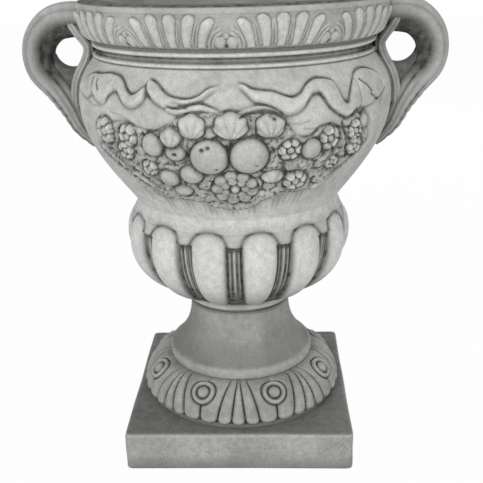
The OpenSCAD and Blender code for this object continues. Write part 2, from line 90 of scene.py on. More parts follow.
class Side(Enum):
    """Side of the urn that a handle stands on."""

    LEFT = -1
    RIGHT = 1


class Half(Enum):
    """Half of the belly, by the angle of its middle."""

    FRONT = 0
    BACK = 180


class Grain(Enum):
    """How coarse a casting's face was left: size of its grit in millimetres."""

    FINE = 1.5
    WORN = 2.4


# Numbers over a grid


def ease(x: Grid, low: float, high: float) -> Grid:
    """Smooth step: 0 below low, 1 above high, and 3t^2 - 2t^3 between."""
    t = np.clip((x - low) / (high - low), 0.0, 1.0)
    return t * t * (3.0 - 2.0 * t)


def fall(x: Grid, low: float, high: float) -> Grid:
    """Smooth step down: 1 below low and 0 above high."""
    return ease(-x, -high, -low)


def bell(x: Grid, middle: float, width: float) -> Grid:
    """Bell: exp(-((x - middle) / width)^2)."""
    return np.exp(-(((x - middle) / width) ** 2))


def spline(points: Grid, count: int) -> Grid:
    """Smooth curve through points, read at evenly spaced steps.

    Args:
        points: (n, k) points, of any number of values each.
        count: how many steps are wanted.

    Returns:
        (count, k) values. Each is half of 2b + (c-a)t + (2a-5b+4c-d)t^2 + (3b-a-3c+d)t^3.
    """
    padded = np.vstack([points[:1], points, points[-1:]])
    place = np.linspace(0.0, len(points) - 1.0, count)
    k = np.minimum(place.astype(int), len(points) - 2)
    t = (place - k)[:, None]
    a, b, c, d = (padded[k + i] for i in range(4))
    return 0.5 * (2 * b + (c - a) * t + (2 * a - 5 * b + 4 * c - d) * t**2 + (3 * b - a - 3 * c + d) * t**3)


def bend(x: Grid, knots: tuple) -> Grid:
    """Smooth curve through (place, value) knots in rising order of place, read at each x."""
    place, value = spline(np.array(knots, float), 24 * len(knots)).T
    return np.interp(x, np.maximum.accumulate(place), value)


def blur(field: Grid, half: int, wraps: bool) -> Grid:
    """Mean over a square window, taken twice as running sums along both ways of the grid.

    Args:
        field: heights over a grid.
        half: half the window's width, in cells.
        wraps: True if the grid's columns close on themselves.

    Returns:
        The blurred field, of the same shape.
    """
    window = 2 * half + 1
    for axis in (0, 1, 0, 1):
        pad = [(0, 0), (0, 0)]
        pad[axis] = (half + 1, half)
        sums = np.cumsum(np.pad(field, pad, mode="wrap" if wraps and axis else "edge"), axis=axis)
        start = np.arange(field.shape[axis])
        field = (np.take(sums, start + window, axis=axis) - np.take(sums, start, axis=axis)) / window
    return field


# Ornament: heights in millimetres over local x (to the right) and y (up the face)


def dome(distance: Grid, r: float, proud: float) -> Grid:
    """Half an ellipsoid: proud * sqrt(1 - (distance / r)^2)."""
    return proud * np.sqrt(np.clip(1.0 - (distance / r) ** 2, 0.0, 1.0))


def blossom(x: Grid, y: Grid, r: float, petals: int, proud: float, turn: float) -> Grid:
    """Flower: broad dished petals in a circle, parted by grooves, round a raised eye.

    The edge's radius is r * (0.78 + 0.22 |cos(petals * angle / 2)|^0.7), a little drawn out along one line.
    The face swells between eye and edge, rounds over, and is cut by a groove between every two petals.

    Args:
        x: grid of distances to the right of the flower's middle.
        y: grid of distances above it.
        r: radius over the petals' tips.
        petals: how many petals.
        proud: height of the petals.
        turn: turn of the whole flower, in degrees.

    Returns:
        Height of the flower, 0 outside it.
    """
    distance = np.hypot(x, y)
    angle = np.arctan2(y, x) - np.radians(turn)
    swing = np.abs(np.cos(petals * angle / 2.0))
    share = distance / (r * (0.78 + 0.22 * swing**0.7 + 0.05 * np.cos(angle * 2.0 + turn)))
    swell = 0.62 + 0.38 * np.sin(np.pi * np.clip(share, 0.0, 1.0) ** 1.3)
    face = swell * np.clip(1.0 - share**6, 0.0, 1.0) ** 0.6
    groove = 0.55 * bell(distance * swing * 2.0 / petals, 0.0, 1.0)
    dish = 0.3 * bell(share, 0.72, 0.15) * swing**3
    ring = 0.6 * bell(distance, 0.34 * r, 1.0)
    eye = dome(distance, 0.3 * r, 0.9) - 0.35 * bell(distance, 0.0, 0.1 * r)
    return proud * np.where(share < 1.0, np.maximum(face - groove - dish - ring, eye), 0.0)


def leaf(x: Grid, y: Grid, length: float, width: float, turn: float, proud: float) -> Grid:
    """Pointed leaf with a midrib and side veins.

    Along the leaf u goes from 0 to 1, the half width is width/2 * sin(180u)^0.8, and the face is a low dome
    across it, less a groove along the middle and slanting ones beside it.

    Args:
        x: grid of distances to the right of the leaf's middle.
        y: grid of distances above it.
        length: length from stalk to tip.
        width: greatest width.
        turn: direction of the tip, in degrees from +x.
        proud: height of the leaf.

    Returns:
        Height of the leaf, 0 outside it.
    """
    c, s = np.cos(np.radians(turn)), np.sin(np.radians(turn))
    along = (x * c + y * s) / length + 0.5
    across = y * c - x * s
    half = width / 2.0 * np.sin(np.pi * np.clip(along, 0.0, 1.0)) ** 0.8 + 1e-6
    face = np.clip(1.0 - (across / half) ** 2, 0.0, 1.0) ** 0.45
    veins = 0.07 * np.cos(2.0 * np.pi * (along * length - np.abs(across)) / 4.5)
    inside = (along > 0.0) & (along < 1.0) & (np.abs(across) < half)
    return proud * np.where(inside, face - 0.4 * bell(across, 0.0, 0.8) - veins, 0.0)


def foliage(x: Grid, y: Grid, size: float) -> Grid:
    """Crowd of small round leaves and buds, from 0 in the gaps to 1 on the crests.

    One bud stands in every cell of a square grid, moved from the cell's middle by up to a third of its
    width. The move is the fraction left over from 43758.5453 sin(127.1 column + 311.7 row), a usual hash.
    A bud's height is sqrt(1 - (distance / (0.62 size))^2), and the nearest bud wins.

    Args:
        x: grid of distances to the right.
        y: grid of distances up.
        size: width of a cell.

    Returns:
        Height of the crowd.
    """
    across, up = x / size, y / size
    crowd = np.zeros_like(across)
    for step in range(9):
        i, j = np.floor(across) + step % 3 - 1, np.floor(up) + step // 3 - 1
        dice = np.sin(np.stack([i * 127.1 + j * 311.7, i * 269.5 + j * 183.3])) * 43758.5453
        move_x, move_y = 0.66 * (dice - np.floor(dice) - 0.5)
        gap = (across - i - 0.5 - move_x) ** 2 + (up - j - 0.5 - move_y) ** 2
        crowd = np.maximum(crowd, np.sqrt(np.clip(1.0 - gap / 0.385, 0.0, 1.0)))
    return crowd


def stroke(x: Grid, y: Grid, dx: float, dy: float, width: float) -> Grid:
    """How near each point lies to a straight stroke: exp(-(distance / half width)^2).

    Args:
        x: grid of distances to the right of the stroke's middle.
        y: grid of distances above it.
        dx: half the stroke's reach to the right.
        dy: half its rise.
        width: width of the stroke.

    Returns:
        1 on the stroke, falling to 0 beside it.
    """
    t = np.clip((x * dx + y * dy) / (dx * dx + dy * dy), -1.0, 1.0)
    return bell(np.hypot(x - t * dx, y - t * dy), 0.0, width / 2.0)


# Faces and solids


def full_turn(columns: int) -> Grid:
    """Angles of evenly spaced columns all the way round."""
    return np.arange(columns) * 360.0 / columns


def turned(angles: Grid, r: Grid, z: Grid | float) -> Grid:
    """Points at radii r and heights z, one for each row or one for each point, turned to the angles."""
    a = np.radians(angles)[None, :]
    x = r * np.sin(a)
    return np.stack([x, -r * np.cos(a), z + 0.0 * x], axis=-1)


def outline(angles: Grid, places: list[tuple[float, float]]) -> Grid:
    """Rows of points for (radius, height) pairs turned to each angle."""
    r, z = np.array(places, float).T[:, :, None]
    return turned(angles, r, z)


class TurnedFace:
    """Face of a casting that was turned round the axis, with the height of its carving at each point.

    The carver raises relief, and adds darkening (antiquing in the hollows, and painted shade) and paling
    (a painted highlight on crests, partly also wear). Antiquing and painted shade gather where a point lies
    below its surroundings: hold says how much of it, softness how widely it spreads.
    """

    NEAR, WIDE, CREST = 1.6, 5.0, 4.0

    def __init__(
        self, angles: Grid, radii: Grid, heights: Grid, wraps: bool = True, middle: float = 0.0
    ) -> None:
        """Sets out the plain face.

        Args:
            angles: angle of each column, in degrees.
            radii: radius of each row.
            heights: height over the ground of each row, rising.
            wraps: True if the columns go all the way round.
            middle: angle that the places of the carving are counted from.
        """
        self.angles, self.radii, self.heights, self.wraps = angles, radii, heights, wraps
        self.middle, self.hold, self.softness = middle, 1.0, 1.0
        step_r, step_z = np.gradient(radii), np.gradient(heights)
        length = np.hypot(step_r, step_z)
        self.out_r, self.out_z = step_z / length, -step_r / length
        self.run = np.concatenate([[0.0], np.cumsum(np.hypot(np.diff(radii), np.diff(heights)))])
        self.relief, self.soil, self.rubbed_and_highlit = np.zeros((3, len(radii), len(angles)))

    def spot(self, angle: float, height: float) -> tuple[Grid, Grid]:
        """Local x and y, in millimetres over the face, from a place given by its angle and height."""
        turn = (self.angles - (angle + self.middle) + 180.0) % 360.0 - 180.0
        x = np.radians(turn)[None, :] * self.radii[:, None]
        y = (self.run - np.interp(height, self.heights, self.run))[:, None] + 0.0 * x
        return x, y

    def along(self, places: list[tuple[float, float]], width: float) -> Grid:
        """How near each point lies to a line through places given by angle and height.

        Args:
            places: (angle, height) of each place.
            width: width of the line.

        Returns:
            1 on the line, falling to 0 beside it.
        """
        near = np.zeros_like(self.relief)
        for (a0, z0), (a1, z1) in zip(places[:-1], places[1:]):
            middle = (z0 + z1) / 2.0
            reach = np.radians(a1 - a0) / 2.0 * np.interp(middle, self.heights, self.radii)
            rise = np.diff(np.interp([z0, z1], self.heights, self.run))[0] / 2.0
            near = np.maximum(near, stroke(*self.spot((a0 + a1) / 2.0, middle), reach, rise, width))
        return near

    def raise_to(self, shape: Grid) -> None:
        """Lifts the face to a shape wherever the shape stands higher."""
        self.relief = np.maximum(self.relief, shape)

    def from_axis(self) -> Grid:
        """Distance of each column from the handles' line, in degrees, as a row."""
        return np.abs(np.abs((self.angles + 180.0) % 360.0 - 180.0) - 90.0)[None, :]

    def points(self) -> Grid:
        """Place of each point: the plain face moved out along its own normal by the relief."""
        r = self.radii[:, None] + self.relief * self.out_r[:, None]
        return turned(self.angles, r, self.heights[:, None] + self.relief * self.out_z[:, None])

    def below(self, window: float) -> Grid:
        """How far each point lies below the mean of its surroundings, this many millimetres either way."""
        cell = max(self.run[-1] / len(self.run), 0.3)
        return blur(self.relief, max(1, round(window / cell)), self.wraps) - self.relief

    def wash_and_shade(self) -> Grid:
        """Darkening from 0 to 1, antiquing and painted shade: what lies below its near and its wide
        surroundings, and what was added.
        """
        near, wide = self.below(self.NEAR * self.softness), self.below(self.WIDE * self.softness)
        held = self.hold * (ease(near, 0.06, 0.8) + 0.8 * ease(wide, 0.25, 2.8))
        return np.clip(held + self.soil, 0.0, 1.0)

    def crest(self) -> Grid:
        """Painted highlight on crests from 0 to 1, partly also wear: how far each point stands above its
        surroundings, and what was added.
        """
        return np.clip(0.8 * ease(-self.below(self.CREST), 0.1, 2.2) + self.rubbed_and_highlit, 0.0, 1.0)


def solid(
    name: str,
    skin: Grid,
    lining: Grid,
    wraps: bool,
    marks: dict[str, Grid | float],
    back: float | list[float] = 0.0,
    smooth: Grid | None = None,
) -> Object:
    """Closed mesh from a carved skin and the plain lining behind it.

    The rows of skin and lining form one loop. The columns close on themselves, or each end gets one flat
    cap. Six times the signed volume, the sum of corner . (corner x corner), tells which way the faces
    point, and they are turned over where it is negative.

    Args:
        name: name of the object.
        skin: (rows, columns, 3) points of the carved face, in millimetres.
        lining: (rows, columns, 3) points that lead from the skin's last row back to its first.
        wraps: True if the columns close on themselves.
        marks: values from 0 to 1 over the skin, kept as attributes of these names.
        back: antiquing and painted shade of the lining, one value or one for each row.
        smooth: which rows of faces are shaded smooth; the skin's, if it isn't given.

    Returns:
        The new object, linked to the scene.
    """
    rows = np.concatenate([skin, lining]) * MM
    corners = rows.reshape(-1, 3)
    index = np.arange(len(corners)).reshape(rows.shape[:2])
    if smooth is None:
        smooth = np.arange(len(rows)) < len(skin) - 1
    caps = [] if wraps else [index[::-1, 0], index[:, -1]]
    if wraps:
        index = np.concatenate([index, index[:, :1]], axis=1)
    above = np.roll(index, -1, axis=0)
    quads = np.stack([index[:, :-1], index[:, 1:], above[:, 1:], above[:, :-1]], axis=-1).reshape(-1, 4)
    a, b, c, d = (corners[quads[:, k]] for k in range(4))
    volume = (a * (np.cross(b, c) + np.cross(c, d))).sum()
    for fan in (corners[cap] for cap in caps):
        volume += (fan[0] * np.cross(fan[1:-1], fan[2:])).sum()
    if volume < 0:
        quads, caps = quads[:, ::-1], [cap[::-1] for cap in caps]
    loops = np.concatenate([quads.ravel(), *caps]).astype(np.int32)
    sizes = np.concatenate([np.full(len(quads), 4), [len(cap) for cap in caps]]).astype(np.int32)
    starts = np.concatenate([[0], np.cumsum(sizes)[:-1]]).astype(np.int32)
    flags = np.concatenate([np.repeat(smooth, index.shape[1] - 1), np.zeros(len(caps), bool)])
    mesh = bpy.data.meshes.new(name)
    mesh.vertices.add(len(corners))
    mesh.vertices.foreach_set("co", corners.astype(np.float32).ravel())
    mesh.loops.add(len(loops))
    mesh.loops.foreach_set("vertex_index", loops)
    mesh.polygons.add(len(sizes))
    mesh.polygons.foreach_set("loop_start", starts)
    mesh.polygons.foreach_set("loop_total", sizes)
    mesh.polygons.foreach_set("use_smooth", flags)
    mesh.update(calc_edges=True)
    for mark, values in marks.items():
        full = np.zeros(rows.shape[:2], np.float32)
        full[: len(skin)] = values
        if mark == "wash_and_shade":
            full[len(skin) :] = np.array(back, float).reshape(-1, 1)
        mesh.attributes.new(mark, "FLOAT", "POINT").data.foreach_set("value", full.ravel())
    item = bpy.data.objects.new(name, mesh)
    bpy.context.scene.collection.objects.link(item)
    return item


def cast(
    name: str,
    face: TurnedFace,
    lining: list[tuple[float, float]],
    back: float | list[float] = 0.0,
    smooth: Grid | None = None,
) -> Object:
    """Solid casting behind a carved face: lining is the outline of (radius, height) pairs that closes it."""
    marks = {"wash_and_shade": face.wash_and_shade(), "crest": face.crest()}
    return solid(name, face.points(), outline(face.angles, lining), face.wraps, marks, back, smooth)


# Profiles of the urn, as in the part's source


def belly_r(z: Grid) -> Grid:
    """Belly: 111.5 + 54 sin(90 (z-285)/107)^1.05, and above its widest 165.5 - 19.5 ((z-392)/45.5)^2.3."""
    rise = np.clip((z - WAIST_Z) / (BELLY_Z - WAIST_Z), 0.0, 1.0)
    low = WAIST_R + (BELLY_R - WAIST_R) * np.sin(np.radians(90.0 * rise)) ** 1.05
    past = np.clip((z - BELLY_Z) / (SHOULDER_Z - BELLY_Z), 0.0, 1.0)
    return np.where(z < BELLY_Z, low, SHOULDER_R + (BELLY_R - SHOULDER_R) * (1.0 - past**2.3))


def crest_r(z: Grid) -> Grid:
    """Cup's crest: 60 + 66 (1 - level^2)^p, widest at 0.6 of its height, with p 0.68 below and 0.5 above."""
    u = (z - CUP_Z) / (WAIST_Z - CUP_Z)
    level = np.where(u < 0.6, (0.6 - u) / 0.6, (u - 0.6) / 0.545)
    return 60.0 + 66.0 * np.clip(1.0 - level**2, 0.0, 1.0) ** np.where(u < 0.6, 0.68, 0.5)


def rim_r(z: Grid) -> Grid:
    """Rim: 148 + 12.5 sin(130 (z-456)/38)^0.6, a swelling that falls back a little at the top."""
    share = np.clip((z - RIM_Z) / (TOP_Z - RIM_Z), 0.0, 1.0)
    return 148.0 + 12.5 * np.sin(np.radians(130.0 * share)) ** 0.6


def beads(z: Grid, *spans: tuple[float, float, float]) -> Grid:
    """Half-round beads, proud * sqrt(1 - ((z - middle) / half height)^2), for each (foot, head, proud)."""
    rounds = [dome(z - (foot + head) / 2.0, (head - foot) / 2.0, proud) for foot, head, proud in spans]
    return np.max(rounds, axis=0)


# Finishes


def linear(code: str) -> tuple[float, float, float, float]:
    """sRGB hex colour to linear: c/12.92 up to 0.04045, and ((c + 0.055) / 1.055)^2.4 above."""
    parts = [int(code[i : i + 2], 16) / 255.0 for i in (1, 3, 5)]
    red, green, blue = (c / 12.92 if c <= 0.04045 else ((c + 0.055) / 1.055) ** 2.4 for c in parts)
    return red, green, blue, 1.0


class Nodes:
    """Shader nodes of a material or of the world, made and linked by short calls."""

    def __init__(self, tree: bpy.types.NodeTree) -> None:
        """Empties the tree."""
        self.tree = tree
        tree.nodes.clear()

    def add(self, kind: str, inputs: dict | None = None, **settings: object) -> bpy.types.Node:
        """Adds a shader node.

        Args:
            kind: type of the node, without its usual first words.
            inputs: by name or number of the socket, a value, a hex colour, or the socket to link.
            settings: properties of the node.

        Returns:
            The new node.
        """
        node = self.tree.nodes.new(f"ShaderNode{kind}")
        for name, value in settings.items():
            setattr(node, name, value)
        for key, value in (inputs or {}).items():
            if isinstance(value, Socket):
                self.tree.links.new(value, node.inputs[key])
            else:
                node.inputs[key].default_value = linear(value) if isinstance(value, str) else value
        return node

    def noise(self, place: Socket, size_mm: float, detail: float) -> Socket:
        """Soft noise with patches of a size."""
        settings = {"Vector": place, "Scale": 1000 / size_mm, "Detail": detail}
        return self.add("TexNoise", settings).outputs["Fac"]

    def span(self, value: Socket, low: float, high: float, foot: float = 0.0, head: float = 1.0) -> Socket:
        """Value spread from low..high to foot..head, and held at both ends."""
        settings = {"Value": value, "From Min": low, "From Max": high, "To Min": foot, "To Max": head}
        return self.add("MapRange", settings).outputs[0]

    def math(self, a: Socket, b: Socket | float, operation: str = "MULTIPLY", **settings: object) -> Socket:
        """Result of arithmetic on two values."""
        return self.add("Math", {0: a, 1: b}, operation=operation, **settings).outputs[0]

    def mix(self, share: Socket, first: Socket | str, second: Socket | str) -> Socket:
        """Colour that goes from the first to the second by a share."""
        return self.add("Mix", {0: share, 6: first, 7: second}, data_type="RGBA").outputs[2]

    def blend(self, share: Socket, first: bpy.types.Node, second: bpy.types.Node) -> Socket:
        """Shader that goes from the first to the second by a share."""
        return self.add("MixShader", {0: share, 1: first.outputs[0], 2: second.outputs[0]}).outputs[0]

    def surface(self, grit: Socket, strength: float, depth_mm: float, inputs: dict) -> None:
        """Principled surface with a bump from the grit, as the material's output."""
        bump = self.add("Bump", {"Height": grit, "Strength": strength, "Distance": depth_mm * MM})
        shader = self.add("BsdfPrincipled", {**inputs, "Normal": bump.outputs[0]})
        self.add("OutputMaterial", {"Surface": shader.outputs[0]})


def new_material(name: str) -> tuple[Material, Nodes]:
    """Empty node material of a name, with its nodes."""
    material = bpy.data.materials.new(name)
    material.use_nodes = True
    return material, Nodes(material.node_tree)


@dataclass(frozen=True)
class AntiquedConcrete:
    """Cast concrete, dry and mineral: a pale cement skin, a painted highlight on crests, antiquing and
    painted shade below.

    The eye reads it as stone: no gloss, soft cloudy patches, fine sandy grain, and near-black lines round
    the carving, of antiquing and painted shade.
    """

    name: str
    skin: str = "#C6C6C4"
    # Painted highlight: the colour mixed in on crests
    highlight_tint: str = "#E2E2E0"
    cloud: str = "#B0B0AE"
    # Colour of the antiquing and of the painted shade
    wash_and_shade_tint: str = "#3A3A37"
    wash_and_shade_strength: float = 0.92
    highlight_strength: float = 0.75
    patch_mm: float = 38.0
    mottle_mm: float = 7.0
    grain: Grain = Grain.FINE
    grain_depth_mm: float = 0.35
    roughness: float = 0.92

    def material(self) -> Material:
        """Makes the node material."""
        material, nodes = new_material(self.name)
        place = nodes.add("TexCoord").outputs["Object"]
        patch = nodes.noise(place, self.patch_mm, 3.0)
        mottle = nodes.noise(place, self.mottle_mm, 4.0)
        grit = nodes.noise(place, self.grain.value, 2.0)
        # Attributes: darkening, antiquing with painted shade; and crests, which take a painted highlight
        wash_and_shade, crest = (nodes.add("Attribute", attribute_name=m).outputs["Fac"] for m in ("wash_and_shade", "crest"))
        base = nodes.mix(nodes.span(patch, 0.42, 0.62, 0.0, 0.8), self.skin, self.cloud)
        # Painted highlight on the crests
        rubbed_and_highlit = nodes.mix(nodes.math(crest, self.highlight_strength), base, self.highlight_tint)
        tone = nodes.math(nodes.span(grit, 0.3, 0.7, 0.84, 1.1), nodes.span(mottle, 0.35, 0.65, 0.88, 1.06))
        grained = nodes.add("VectorMath", {0: rubbed_and_highlit, "Scale": tone}, operation="SCALE").outputs[0]
        # Antiquing and painted shade, broken up by the mottle
        held = nodes.math(wash_and_shade, nodes.span(mottle, 0.3, 0.7, 0.75, 1.15))
        wash_and_shade_share = nodes.math(held, self.wash_and_shade_strength, use_clamp=True)
        colour = nodes.mix(wash_and_shade_share, grained, self.wash_and_shade_tint)
        inputs = {"Base Color": colour, "Roughness": self.roughness, "Specular IOR Level": 0.2}
        nodes.surface(grit, 1.0, self.grain_depth_mm, inputs)
        return material


@dataclass(frozen=True)
class PlainFinish:
    """Finish of one colour with a fine uneven tone, for mortar, rolled steel and extruded pipe."""

    name: str
    colour: str
    shade: str
    texture_mm: float
    metallic: float = 0.0
    roughness: float = 0.9

    def material(self) -> Material:
        """Makes the node material."""
        material, nodes = new_material(self.name)
        noise = nodes.noise(nodes.add("TexCoord").outputs["Object"], self.texture_mm, 3.0)
        colour = nodes.mix(nodes.span(noise, 0.35, 0.65), self.colour, self.shade)
        inputs = {"Base Color": colour, "Metallic": self.metallic, "Roughness": self.roughness}
        nodes.surface(noise, 0.6, 0.2, inputs)
        return material


# Struck mortar: greyer and sandier than the castings, left rough by the pointing tool
MORTAR = PlainFinish("struck mortar", "#6E6E6A", "#83837F", 2.5)
# Hot-rolled bar: dark mill scale with a dull sheen
ROLLED_STEEL = PlainFinish("hot-rolled steel", "#55524F", "#6A6662", 4.0, 1.0, 0.55)
# Extruded drain pipe: plain dark plastic with a soft sheen
DRAIN_PIPE = PlainFinish("extruded drain pipe", "#2C2D2E", "#343536", 12.0, 0.0, 0.45)

# Slab: sandier and greyer, and darkest on its flat top
SLAB_CONCRETE = AntiquedConcrete(
    "weathered slab concrete", "#AEAEAB", "#BCBCB9", "#9D9D9A", "#4E4E4B", grain=Grain.WORN
)
# Foot: skin, crests and patches darker than the bowl's
FOOT_CONCRETE = AntiquedConcrete("antiqued foot concrete", "#A6A6A3", "#C2C2C0", "#939390")
# Bowl: the palest casting, chalky on the gadroons and the fruit
BOWL_CONCRETE = AntiquedConcrete("antiqued bowl concrete")
# Rim: skin, crests and patches a little darker than the bowl's
RIM_CONCRETE = AntiquedConcrete("antiqued rim concrete", "#BEBEBC", "#D8D8D6", "#ABABA9")
# Handles: skin, crests and patches darker than the bowl's, a painted shade over the limbs' faces, with a
# broad dark painted shade round the opening
HANDLE_CONCRETE = AntiquedConcrete("antiqued handle concrete", "#B6B6B4", "#C6C6C4", "#9C9C9A")


def dress(item: Object, material: Material, slot: str, *nodes: str) -> Object:
    """Gives a new piece its material and its body, and hides the CAD nodes that it stands for."""
    item.data.materials.clear()
    item.data.materials.append(material)
    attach(item, "root")
    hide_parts(*nodes)
    LOG.info("%s: %d faces", item.name, len(item.data.polygons))
    return item


# Sub-assemblies


@dataclass
class Slab:
    """Square slab, worn along its edges, with the drain hole through it."""

    width: float = 250.0
    arris: float = 4.0
    corner_power: float = 64.0
    # How dark the flat top is made
    top_soil: float = 0.78
    columns: int = 480

    def edge_r(self, angles: Grid) -> Grid:
        """Outline: half width / (|sin|^p + |cos|^p)^(1/p), a square whose corners are worn round."""
        a, p = np.radians(angles), self.corner_power
        return self.width / 2.0 / (np.abs(np.sin(a)) ** p + np.abs(np.cos(a)) ** p) ** (1.0 / p)

    def build(self, material: Material) -> Object:
        """Builds the slab: side and top are its face, underside and bore its lining."""
        angles = full_turn(self.columns)
        turn = np.radians(np.linspace(0.0, 90.0, 7))
        lower, upper = self.arris * (1 - np.cos(turn)), self.arris * (1 - np.sin(turn))
        side = np.linspace(self.arris, SLAB_TOP - self.arris, 30)
        height = np.concatenate([lower[:-1], side, SLAB_TOP - upper[1:]])
        inset = np.concatenate([upper[:-1], 0.0 * side, lower[1:]])
        wear = 0.6 + 0.4 * np.sin(np.radians(angles * 7.0)) * np.sin(height[:, None] / 6.0)
        outer = self.edge_r(angles) - inset[:, None] - wear
        top = BORE_R + (outer[-1:] - BORE_R) * np.linspace(1.0, 0.0, 42)[1:, None]
        under = BORE_R + (outer[:1] - BORE_R) * np.linspace(0.0, 0.97, 12)[:, None]
        level = np.concatenate([height, np.full(len(top), SLAB_TOP)])[:, None]
        # Darker towards the bottom and just under the top edge
        soil = 0.5 * fall(height, 2.0, 22.0) + 0.7 * ease(height, SLAB_TOP - 1.8, SLAB_TOP)
        wash_and_shade = np.concatenate([soil, np.full(len(top), self.top_soil)])[:, None]
        # Painted highlight along the top arris
        marks = {"wash_and_shade": wash_and_shade, "crest": 0.5 * fall(np.abs(level - SLAB_TOP + 2.0), 0.0, 3.0)}
        skin = turned(angles, np.concatenate([outer, top]), level)
        item = solid("slab", skin, turned(angles, under, 0.0), True, marks)
        return dress(item, material, "slab_concrete", "plinth")


@dataclass
class LeafRing:
    """Ring of leaves under the foot: eight roundels, each over a cleft between paired lobes."""

    units: int = 8
    core_r: float = 85.0
    swell: float = 32.0
    rise: float = 40.5
    last_lie: float = 86.0
    relief: float = 6.5
    roundel_lie: float = 55.0
    columns: int = 1040
    rows: int = 62

    def lobes(self, share: Grid, lie: Grid) -> tuple[Grid, Grid]:
        """Lobes across half a unit: the first by the cleft, the second beyond it, and a dart at the far end.

        Their lower tips are rounded: within 13 degrees of the foot a lobe's half width draws in.

        Args:
            share: distance from the unit's middle, 0 to 1.
            lie: angle up the ring's quarter ellipse, 0 to 86 degrees.

        Returns:
            Height of the lobes from 0 in a cleft to 1, and closeness to the nearest cleft from 0 to 1.
        """
        first = 0.45 + 0.28 * (lie / self.last_lie) ** 1.3
        second = 0.81 + 0.15 * (lie / self.last_lie)
        low = np.where(share < first, 0.0, np.where(share < second, first, second))
        high = np.where(share < first, first, np.where(share < second, second, 2.0 - second))
        t = 2.0 * (share - low) / (high - low) - 1.0
        reach = np.pi / self.units * (self.core_r + self.swell * np.cos(np.radians(lie)))
        gap = np.minimum(share - low, high - share) * reach
        tip = 0.93 * np.clip(1.0 - (lie - 1.5) / 13.0, 0.0, 1.0)
        return np.sqrt(np.clip(1.0 - np.abs(t) ** 2.2 - tip**2, 0.0, 1.0)), bell(gap, 0.0, 1.0)

    def build(self, material: Material) -> Object:
        """Builds the ring on its quarter ellipse, radius 85 + 32 cos(lie) and height 48 + 40.5 sin(lie)."""
        lie = np.linspace(1.5, self.last_lie, self.rows)[:, None]
        slope = np.radians(lie)
        heights = FOOT_Z + self.rise * np.sin(slope[:, 0])
        face = TurnedFace(full_turn(self.columns), self.core_r + self.swell * np.cos(slope[:, 0]), heights)
        pitch = 360.0 / self.units
        share = np.abs(face.angles % pitch - pitch / 2.0)[None, :] / (pitch / 2.0)
        height, cleft = self.lobes(share, lie)
        depth = np.maximum(self.relief * np.cos(slope) ** 0.7, 1.6)
        face.relief = -depth * (1.0 - height) - 0.9 * cleft - 2.5 * fall(lie, 1.5, 6.0)
        roundel_z = FOOT_Z + self.rise * np.sin(np.radians(self.roundel_lie))
        for k in range(self.units):
            distance = np.hypot(*face.spot((k + 0.5) * pitch, roundel_z))
            rosette = 2.4 * bell(distance, 11.0, 2.2) + dome(distance, 6.8, 3.2) - 1.0
            inside = fall(distance, 13.8, 15.0)
            outer, inner = bell(distance, 14.8, 1.2), bell(distance, 7.4, 1.2)
            face.relief = face.relief * (1.0 - inside) + rosette * inside - 1.8 * outer - 1.3 * inner
            # Antiquing and painted shade in the grooves round each roundel
            face.soil += 0.3 * outer + 0.25 * inner
        # Painted shade along the ring's foot, where it meets the slab
        face.soil += 0.25 * fall(lie, 2.0, 14.0)
        item = cast("foot_leaf_ring", face, [(80.0, 88.0), (80.0, FOOT_Z), (110.0, FOOT_Z)])
        return dress(item, material, "foot_concrete", "foot")


@dataclass
class FootFlare:
    """Plain fillet over the leaves, and the hollow flare that draws in to the neck."""

    fillet_r: float = 84.0
    bulge: float = 2.2
    neck_r: float = 57.0
    columns: int = 300

    def build(self, material: Material) -> Object:
        """Builds the fillet as a flat bead and the flare as 81.6 - 24.6 (1 - (1-u)^2.6) over its height."""
        turn = np.radians(np.linspace(-90.0, 90.0, 13))
        band_r = self.fillet_r - self.bulge * (1.0 - np.cos(turn))
        band_z = (FILLET_Z + FLARE_Z) / 2.0 + (FLARE_Z - FILLET_Z) / 2.0 * np.sin(turn)
        u = np.linspace(0.0, 1.0, 48)[1:]
        start = self.fillet_r - self.bulge - 0.2
        flare_r = start - (start - self.neck_r) * (1.0 - (1.0 - u) ** 2.6)
        radii = np.concatenate([[81.5], band_r, flare_r])
        heights = np.concatenate([[FILLET_Z - 2.0], band_z, FLARE_Z + (NECK_Z - FLARE_Z) * u])
        face = TurnedFace(full_turn(self.columns), radii, heights)
        # Painted shade in the hollow of the flare and under the cup's collar
        dark = 0.35 * ease(heights, FLARE_Z - 0.5, FLARE_Z + 1.5) * fall(heights, 108.0, NECK_Z)
        face.soil += (dark + 0.7 * ease(heights, NECK_Z - 6.0, NECK_Z))[:, None]
        # Painted shade in the joint under the fillet
        face.soil[:2] += 0.8
        # Painted light: a paler patch on the front of the flare, where the light falls
        x, y = face.spot(4.0, 140.0)
        face.soil -= 0.6 * np.exp(-((x / 22.0) ** 2) - (y / 16.0) ** 2)
        # Painted highlight on the fillet's edges
        edges = ease(heights, FILLET_Z, FILLET_Z + 3.0) * fall(heights, FLARE_Z - 3.0, FLARE_Z)
        face.rubbed_and_highlit += 0.4 * edges[:, None]
        item = cast("foot_flare", face, [(BORE_R, NECK_Z), (BORE_R, FILLET_Z - 2.0)])
        return dress(item, material, "foot_concrete", "foot")


